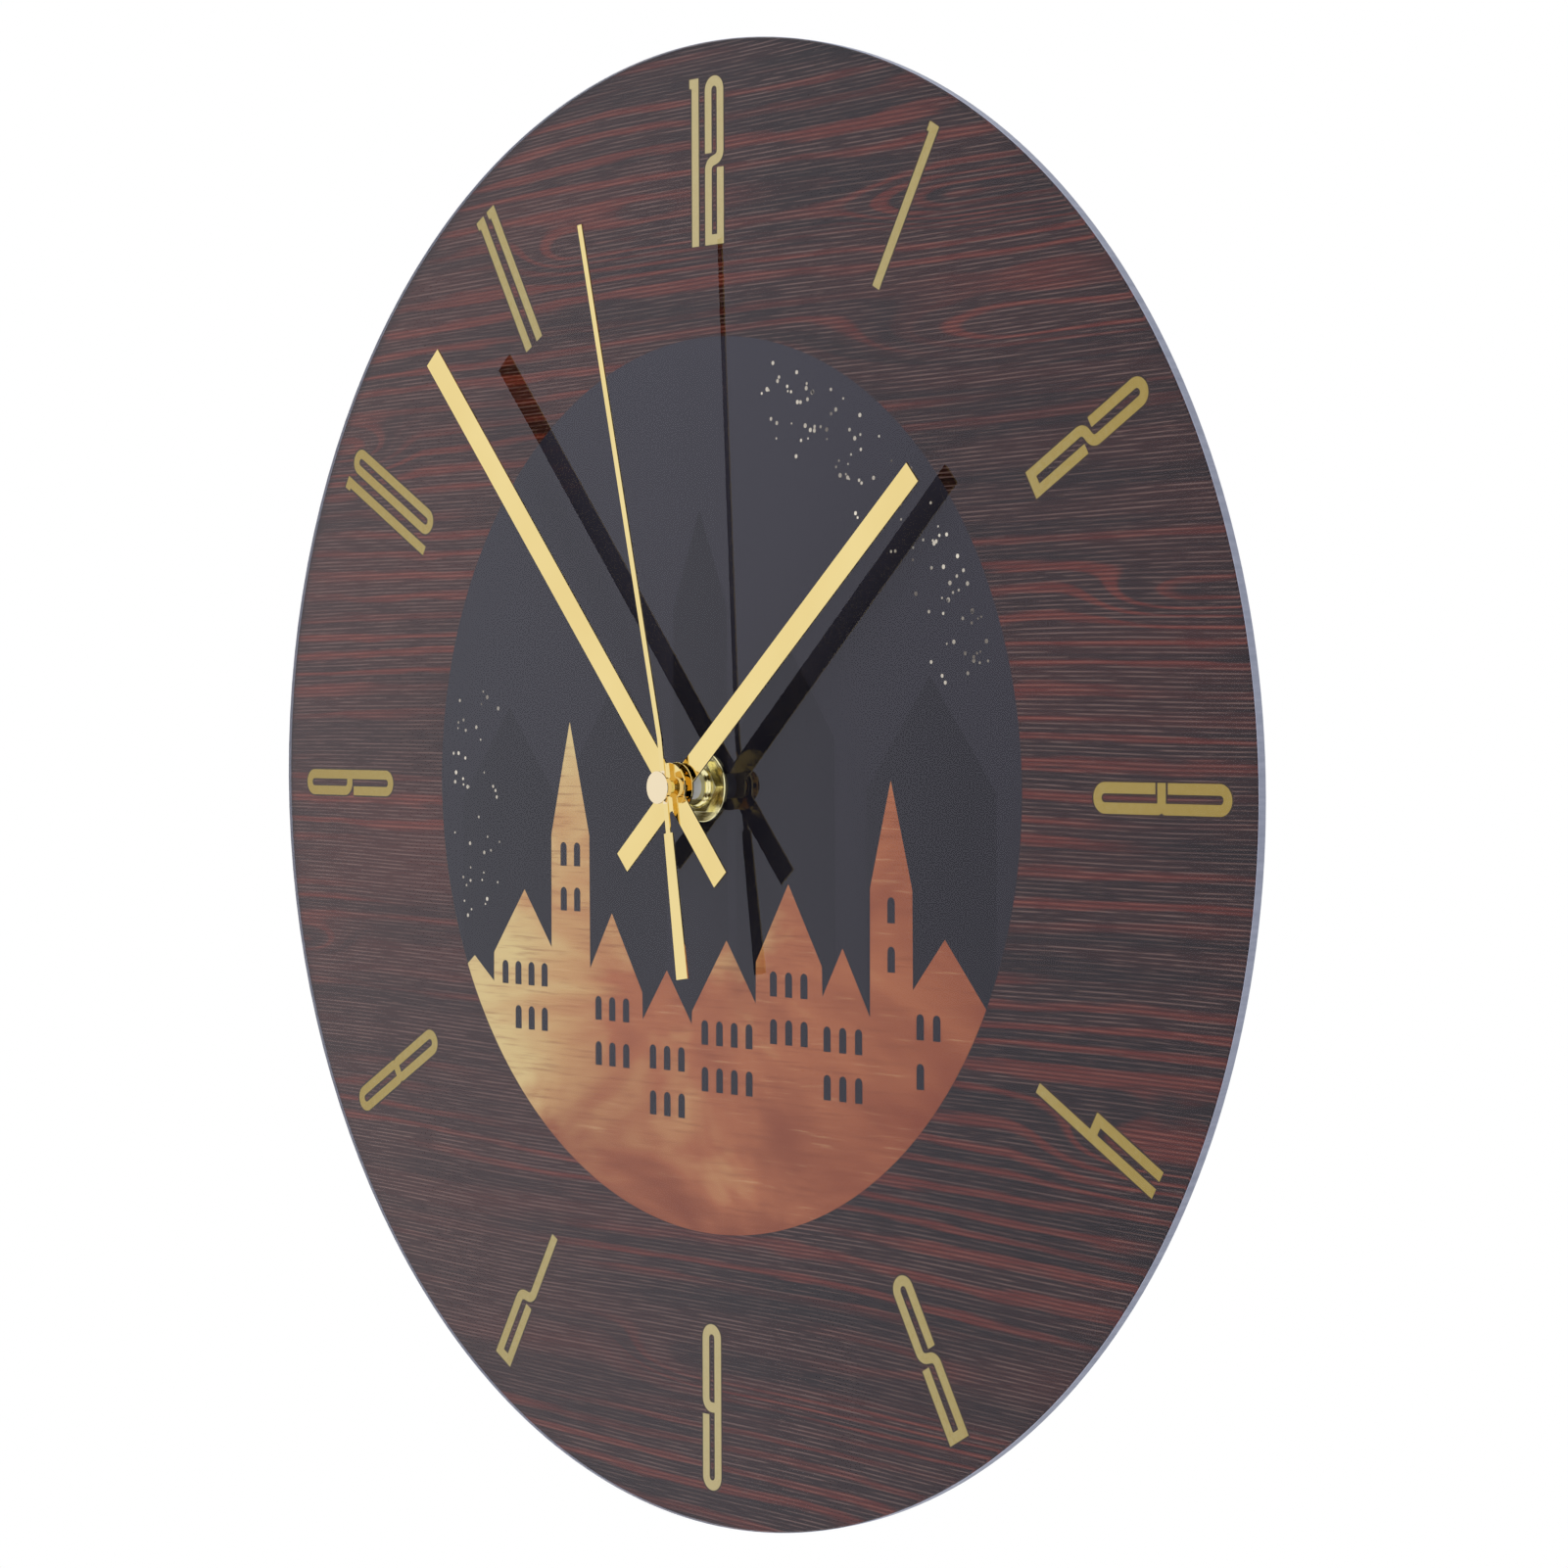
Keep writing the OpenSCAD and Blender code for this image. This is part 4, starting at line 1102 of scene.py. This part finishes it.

# %% [markdown]
# ## Clear acrylic
# Real glass and plastic bend light, and a path tracer follows that well for what the camera sees. Light
# that reaches the print through such a surface is hard to find, though, so shadow rays and diffuse rays
# pass straight through: a Light Path node swaps in a Transparent shader for them. The white room lies as
# a bluish veil, its reflection, on the front of the disc. That reflection is painted: its bluish colour
# and its fall towards the right come from the mirror's tint, a ramp along x, not from the light.

# %% Acrylic
# painted reflection: tints of the mirror from left to right, bluish and weaker towards the right
PAINTED_VEIL_TINT = [
    (0.10, (0.80, 0.81, 1.00)),
    (0.50, (0.78, 0.78, 0.965)),
    (0.73, (0.66, 0.655, 0.82)),
    (0.95, (0.63, 0.62, 0.77)),
]


def clear_acrylic():
    """Clear plastic, its reflection painted bluish and weaker to the right by its tint, and a straight way
    through for shadow rays and diffuse rays.
    """
    clear = Finish("clear_acrylic", Roughness=0.0, IOR=1.49, Transmission_Weight=1.0)
    x, y, z = clear.axes()
    across = clear.math("MULTIPLY_ADD", x, 0.5 / dial_r, 0.5)
    # painted reflection: the tint falls along x, so the reflected room is bluish and weaker to the right
    clear.feed("Specular Tint", clear.ramp(across, PAINTED_VEIL_TINT))
    haze = clear.noise(clear.place, scale=9.0, detail=1.0)
    clear.feed("Base Color", clear.between(haze, (0.985, 0.990, 1.0), (1.0, 1.0, 1.0)))
    path = clear.node("ShaderNodeLightPath").outputs
    straight = clear.math("MAXIMUM", path["Is Shadow Ray"], path["Is Diffuse Ray"])
    through = clear.node("ShaderNodeBsdfTransparent")
    mixed = clear.node("ShaderNodeMixShader", {
        0: straight, 1: clear.shader.outputs["BSDF"], 2: through.outputs["BSDF"],
    })
    clear.plug(mixed.outputs["Shader"], clear.output.inputs["Surface"])
    return clear.material


# %% [markdown]
# ## Metals
# The hands are sheet metal with a gold mirror finish: fully metallic, very smooth, with a slight drift in
# roughness so that the mirror isn't perfect. The nut, washer and neck are turned brass. Turning leaves
# fine rings round the axis, so their bump reads the distance from it.


# %% Metal finishes
def gold_mirror(name, pale, deep, rough, cap_r=0.0, cap_colour=(1.0, 1.0, 1.0)):
    """Two close golds by a slow noise, and another colour inside the radius of a cap, where there is one."""
    gold = Finish(name, Metallic=1.0)
    drift = gold.noise(gold.place, scale=35.0, detail=3.0)
    colour = gold.between(drift, deep, pale)
    if cap_r:
        colour = gold.mix(gold.step(gold.off_axis(), cap_r + 0.1 * MM, cap_r), colour, cap_colour)
    gold.feed("Base Color", colour)
    smear = gold.noise(gold.place, scale=240.0, detail=2.0)
    gold.feed("Roughness", gold.range(smear, rough, rough + 0.05))
    return gold.material


def turned_metal(name, pale, deep, rough, ring_pitch, ring_depth):
    """A noise of (distance from the axis, y) over the pitch gives rings, for roughness and bump."""
    metal = Finish(name, Metallic=1.0)
    r = metal.math("DIVIDE", metal.off_axis(), ring_pitch)
    y = metal.math("DIVIDE", metal.axes()[1], ring_pitch)
    rings = metal.noise(metal.point(r, y, 0.0))
    drift = metal.noise(metal.place, scale=300.0, detail=3.0)
    metal.feed("Base Color", metal.between(drift, deep, pale))
    metal.feed("Roughness", metal.range(rings, rough, rough + 0.10))
    metal.bump(rings, 1.0, ring_depth)
    return metal.material


# %% [markdown]
# ## Plastics and the rest
# The housing is black plastic from a spark-eroded mould, so it has a fine pebble in its bump. White nylon,
# rubber, circuit board and battery sleeve get a little drift in colour, because no moulded part is even.

# %% Plastic finishes
# soft steps in the colour of the cell, in millimetres from its ends
PALE_STEP = (15.0, 14.8)
PLUS_STEP = (2.0, 1.9)
MINUS_STEP = (0.6, 0.5)


def moulded(name, low, high, rough, grain, depth):
    """A slow noise for the colour and a fine one, the pebble, for roughness and bump."""
    plastic = Finish(name)
    drift = plastic.noise(plastic.place, scale=60.0, detail=3.0)
    pebble = plastic.noise(plastic.place, scale=grain, detail=2.0)
    plastic.feed("Base Color", plastic.between(drift, low, high))
    plastic.feed("Roughness", plastic.range(pebble, rough - 0.06, rough + 0.06))
    plastic.bump(pebble, 0.3, depth)
    return plastic.material


def battery_sleeve():
    """A dark sleeve with a pale band at the plus end, and bare metal at both ends."""
    sleeve = Finish("battery_sleeve", Roughness=0.32)
    x, y, z = sleeve.axes()
    end = cell_high.x
    wear = sleeve.noise(sleeve.mapped((60, 400, 400)), detail=2.0)
    shell = sleeve.between(wear, (0.030, 0.060, 0.095), (0.045, 0.080, 0.120))
    pale = sleeve.step(x, *(end - step * MM for step in PALE_STEP))
    plus_end = sleeve.step(x, *(end - step * MM for step in PLUS_STEP))
    minus_end = sleeve.step(x, *(step * MM - end for step in MINUS_STEP))
    bare = sleeve.math("MAXIMUM", plus_end, minus_end)
    shell = sleeve.mix(pale, shell, (0.50, 0.52, 0.53))
    sleeve.feed("Base Color", sleeve.mix(bare, shell, (0.62, 0.62, 0.60)))
    sleeve.feed("Metallic", bare)
    return sleeve.material


# %% [markdown]
# ## A finish for every part
# Each row of the record names the slot of a part, so a table from slot to finish dresses all solids in one
# loop. The parts that were drawn again then take the place of their solids.

# %% Dress the parts
PLASTICS = {
    # low colour, high colour, roughness, grain per metre, depth of the bump in metres
    "film_back": ((0.66, 0.66, 0.65), (0.74, 0.74, 0.73), 0.5, 800.0, 0.00001),
    "white_nylon": ((0.70, 0.72, 0.76), (0.80, 0.81, 0.84), 0.4, 900.0, 0.00001),
    "black_housing": ((0.012, 0.012, 0.013), (0.022, 0.022, 0.023), 0.5, 2200.0, 0.00004),
    "black_rubber": ((0.010, 0.010, 0.010), (0.020, 0.020, 0.020), 0.75, 1500.0, 0.00002),
    "circuit_board": ((0.020, 0.090, 0.040), (0.030, 0.125, 0.055), 0.4, 700.0, 0.00001),
    "chip_resin": ((0.008, 0.008, 0.008), (0.014, 0.014, 0.014), 0.25, 500.0, 0.00001),
    "magnet": ((0.040, 0.040, 0.042), (0.075, 0.075, 0.078), 0.55, 1800.0, 0.00002),
    "pale_mark": ((0.50, 0.50, 0.49), (0.62, 0.62, 0.60), 0.5, 900.0, 0.00001),
}
METALS = {
    # pale colour, deep colour, roughness, pitch of the rings and their depth in metres
    "turned_brass": ((0.92, 0.86, 0.50), (0.86, 0.77, 0.40), 0.07, 0.00012, 0.00003),
    "bright_steel": ((0.70, 0.70, 0.71), (0.58, 0.58, 0.60), 0.22, 0.0002, 0.000002),
    "copper_wire": ((0.75, 0.33, 0.17), (0.58, 0.22, 0.10), 0.25, 0.0001, 0.000004),
}
FINISH_OF = {"dial_print": "film_back", "brass": "turned_brass"}

finishes = {name: moulded(name, *look) for name, look in PLASTICS.items()}
finishes |= {name: turned_metal(name, *look) for name, look in METALS.items()}
finishes["clear_acrylic"] = clear_acrylic()
finishes["battery_sleeve"] = battery_sleeve()
finishes["gold_mirror"] = gold_mirror("gold_mirror", (0.86, 0.69, 0.31), (0.82, 0.64, 0.27), 0.02)
capped_gold = gold_mirror(
    "gold_mirror_with_cap", (0.86, 0.70, 0.33), (0.82, 0.65, 0.29), 0.02, CAP_R * MM, (0.86, 0.73, 0.51)
)

for row in frame["record"]["subparts"]:
    part = nodes[row["node"]]
    slot = row["material_slot"]
    part.data.materials.clear()
    part.data.materials.append(finishes[FINISH_OF.get(slot, slot)])

for name, shape, old_part, crease in (
    ("threaded_neck", threaded_neck(), "threaded_bush", 30),
    ("hex_nut_sharp", sharp_nut(), "hex_nut", 20),
    ("brass_washer_round", round_washer(), "brass_washer", 30),
):
    piece = make_piece(name, shape, finishes["turned_brass"], crease=crease)
    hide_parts(old_part)
for name, parts in hand_parts.items():
    gold = capped_gold if name == "second" else finishes["gold_mirror"]
    hand = make_piece(name + "_hand_bevelled", joined(parts), gold, body=name, crease=20)
    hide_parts(name + "_hand")
print("finishes:", len(finishes) + 1, "on", len(nodes), "nodes")

# %% [markdown]
# ## Marks on the back
# The housing tells which way the cell goes in and which way the knob turns. The marks are pale strips as
# thin as ink on its back face. Seen from behind, right and left are swapped, so the plus stands at +X, at
# the button end of the cell.

# %% Back marks
BACK_LAYER = (film_y - cover_high.y) / MM / INK_STEP - 0.5
MARK_W = 0.8
MARK_L = 3.6
MARK_AT = (20.5, -8.0)
ARROW_R = 9.6
ARROW_FROM = 150
ARROW_TO = 30
BARB_L = 1.9
BARB_W = 0.64
BARB_TURN = 2.55


def back_marks():
    """A plus, a minus and a bow round the knob that ends in an arrow head."""
    u, v = MARK_AT
    bars = [[(u - MARK_L / 2, v), (u + MARK_L / 2, v)], [(-u - MARK_L / 2, v), (-u + MARK_L / 2, v)]]
    shapes = [strip(bar, MARK_W, BACK_LAYER) for bar in bars]
    above = BACK_LAYER - STROKE_LIFT
    shapes.append(strip([(u, v - MARK_L / 2), (u, v + MARK_L / 2)], MARK_W, above))
    centre = np.array([0.0, (knob_low.z + knob_high.z) / 2 / MM])
    t = np.radians(np.linspace(ARROW_FROM, ARROW_TO, 40))
    bow = centre + ARROW_R * on_circle(t)
    shapes.append(strip(bow, MARK_W, BACK_LAYER))
    tip = bow[-1]
    turn = t[-1] - np.pi / 2
    for side in (BARB_TURN, -BARB_TURN):
        barb = tip + BARB_L * on_circle(turn + side)
        shapes.append(strip([barb, tip], BARB_W, above - 0.1 * side))
    return joined(shapes)


make_piece("back_marks", back_marks(), finishes["pale_mark"])

# %% [markdown]
# ## Light
# The clock hangs in even white light, so the world is white to the camera and to mirrors, and a little
# lower as a lamp: a Light Path node tells the two uses apart. Two large soft lamps give the small round
# parts some shape. Mirrors and glass don't see these lamps.

# %% World and lamps
WORLD_LAMP = 0.72


def white_world(lamp_strength):
    """White at strength 1 for camera, mirrors and glass, and a lamp of its own strength for all else."""
    world = bpy.data.worlds.new("white_room")
    bpy.context.scene.world = world
    world.use_nodes = True
    world.node_tree.nodes.clear()
    room = Nodes(world.node_tree)
    path = room.node("ShaderNodeLightPath").outputs
    mirrored = room.math("MAXIMUM", path["Is Glossy Ray"], path["Is Transmission Ray"])
    looked_at = room.math("MAXIMUM", path["Is Camera Ray"], mirrored)
    white = {"Color": (1.0, 1.0, 1.0, 1.0)}
    seen = room.node("ShaderNodeBackground", white).outputs["Background"]
    lamp = room.node("ShaderNodeBackground", white | {"Strength": lamp_strength}).outputs["Background"]
    mixed = room.node("ShaderNodeMixShader", {0: looked_at, 1: lamp, 2: seen}).outputs["Shader"]
    room.node("ShaderNodeOutputWorld", {"Surface": mixed})


def aimed(back, at, roll=0.0):
    """The matrix of a lamp or camera at a place: its columns are right, up, backwards and the place."""
    level = np.cross([0.0, 0.0, 1.0], back)
    level = level / np.linalg.norm(level)
    right = level * math.cos(roll) + np.cross(back, level) * math.sin(roll)
    matrix = np.eye(4)
    matrix[:3, :] = np.stack([right, np.cross(back, right), back, at], axis=-1)
    return Matrix(matrix.tolist())


def soft_lamp(name, at, size, watts):
    """A square lamp at a place in metres that looks at the middle of the dial."""
    lamp = bpy.data.lights.new(name, "AREA")
    lamp.size = size
    lamp.energy = watts
    holder = linked(name, lamp)
    back = np.array(at) - [0.0, face_y, 0.0]
    holder.matrix_world = aimed(back / np.linalg.norm(back), at)
    holder.visible_glossy = False
    holder.visible_transmission = False


white_world(WORLD_LAMP)
soft_lamp("key_lamp", at=(-0.9, -1.3, 1.0), size=1.4, watts=30.0)
soft_lamp("fill_lamp", at=(1.6, -1.2, 0.5), size=1.2, watts=6.0)
print("lamps:", [lamp.name for lamp in bpy.data.lights])

# %% [markdown]
# ## Floor
# The floor is one pale disc well below the clock. It isn't a part of the clock, so it rides on no body.

# %% Floor
FLOOR_DROP = 0.60
FLOOR_R = 1.2
FLOOR_SIDES = 128


def floor_finish():
    floor = Finish("pale_floor", Roughness=0.8)
    drift = floor.noise(floor.place, scale=3.0, detail=2.0)
    floor.feed("Base Color", floor.between(drift, (0.80, 0.80, 0.80), (0.84, 0.84, 0.84)))
    return floor.material


turn = full_turn(FLOOR_SIDES)
floor_z = np.full(FLOOR_SIDES, dial_low.z - FLOOR_DROP)
floor_points = np.stack([FLOOR_R * np.cos(turn), FLOOR_R * np.sin(turn), floor_z], axis=-1)
floor_mesh = bpy.data.meshes.new("floor")
floor_mesh.from_pydata(floor_points.tolist(), [], [list(range(FLOOR_SIDES))])
floor_mesh.materials.append(floor_finish())
floor = linked("floor", floor_mesh)
print("floor", FLOOR_DROP, "m below the dial")

# %% [markdown]
# ## Camera
# The camera stands to the right of the clock. Its distance sets the perspective, how much larger the near
# side of the disc looks than the far side, and the lens then sets the size of the disc in the picture.

# %% Camera
AZIMUTH = 48.945
ELEVATION = 1.27
ROLL = -0.20
DISTANCE = 0.770
LENS = 89.42
SENSOR = 36.0
TARGET = np.array([0.02480, face_y, 0.00085])

az, el, roll = np.radians([AZIMUTH, ELEVATION, ROLL])
back = np.array([math.sin(az) * math.cos(el), -math.cos(az) * math.cos(el), math.sin(el)])

camera = bpy.data.cameras.new("camera")
camera.lens = LENS
camera.sensor_width = SENSOR
camera_holder = linked("camera", camera)
camera_holder.matrix_world = aimed(back, TARGET + DISTANCE * back, roll)
bpy.context.scene.camera = camera_holder
bpy.context.scene.view_settings.view_transform = "Standard"
print("camera", DISTANCE, "m from", TARGET.round(4).tolist())
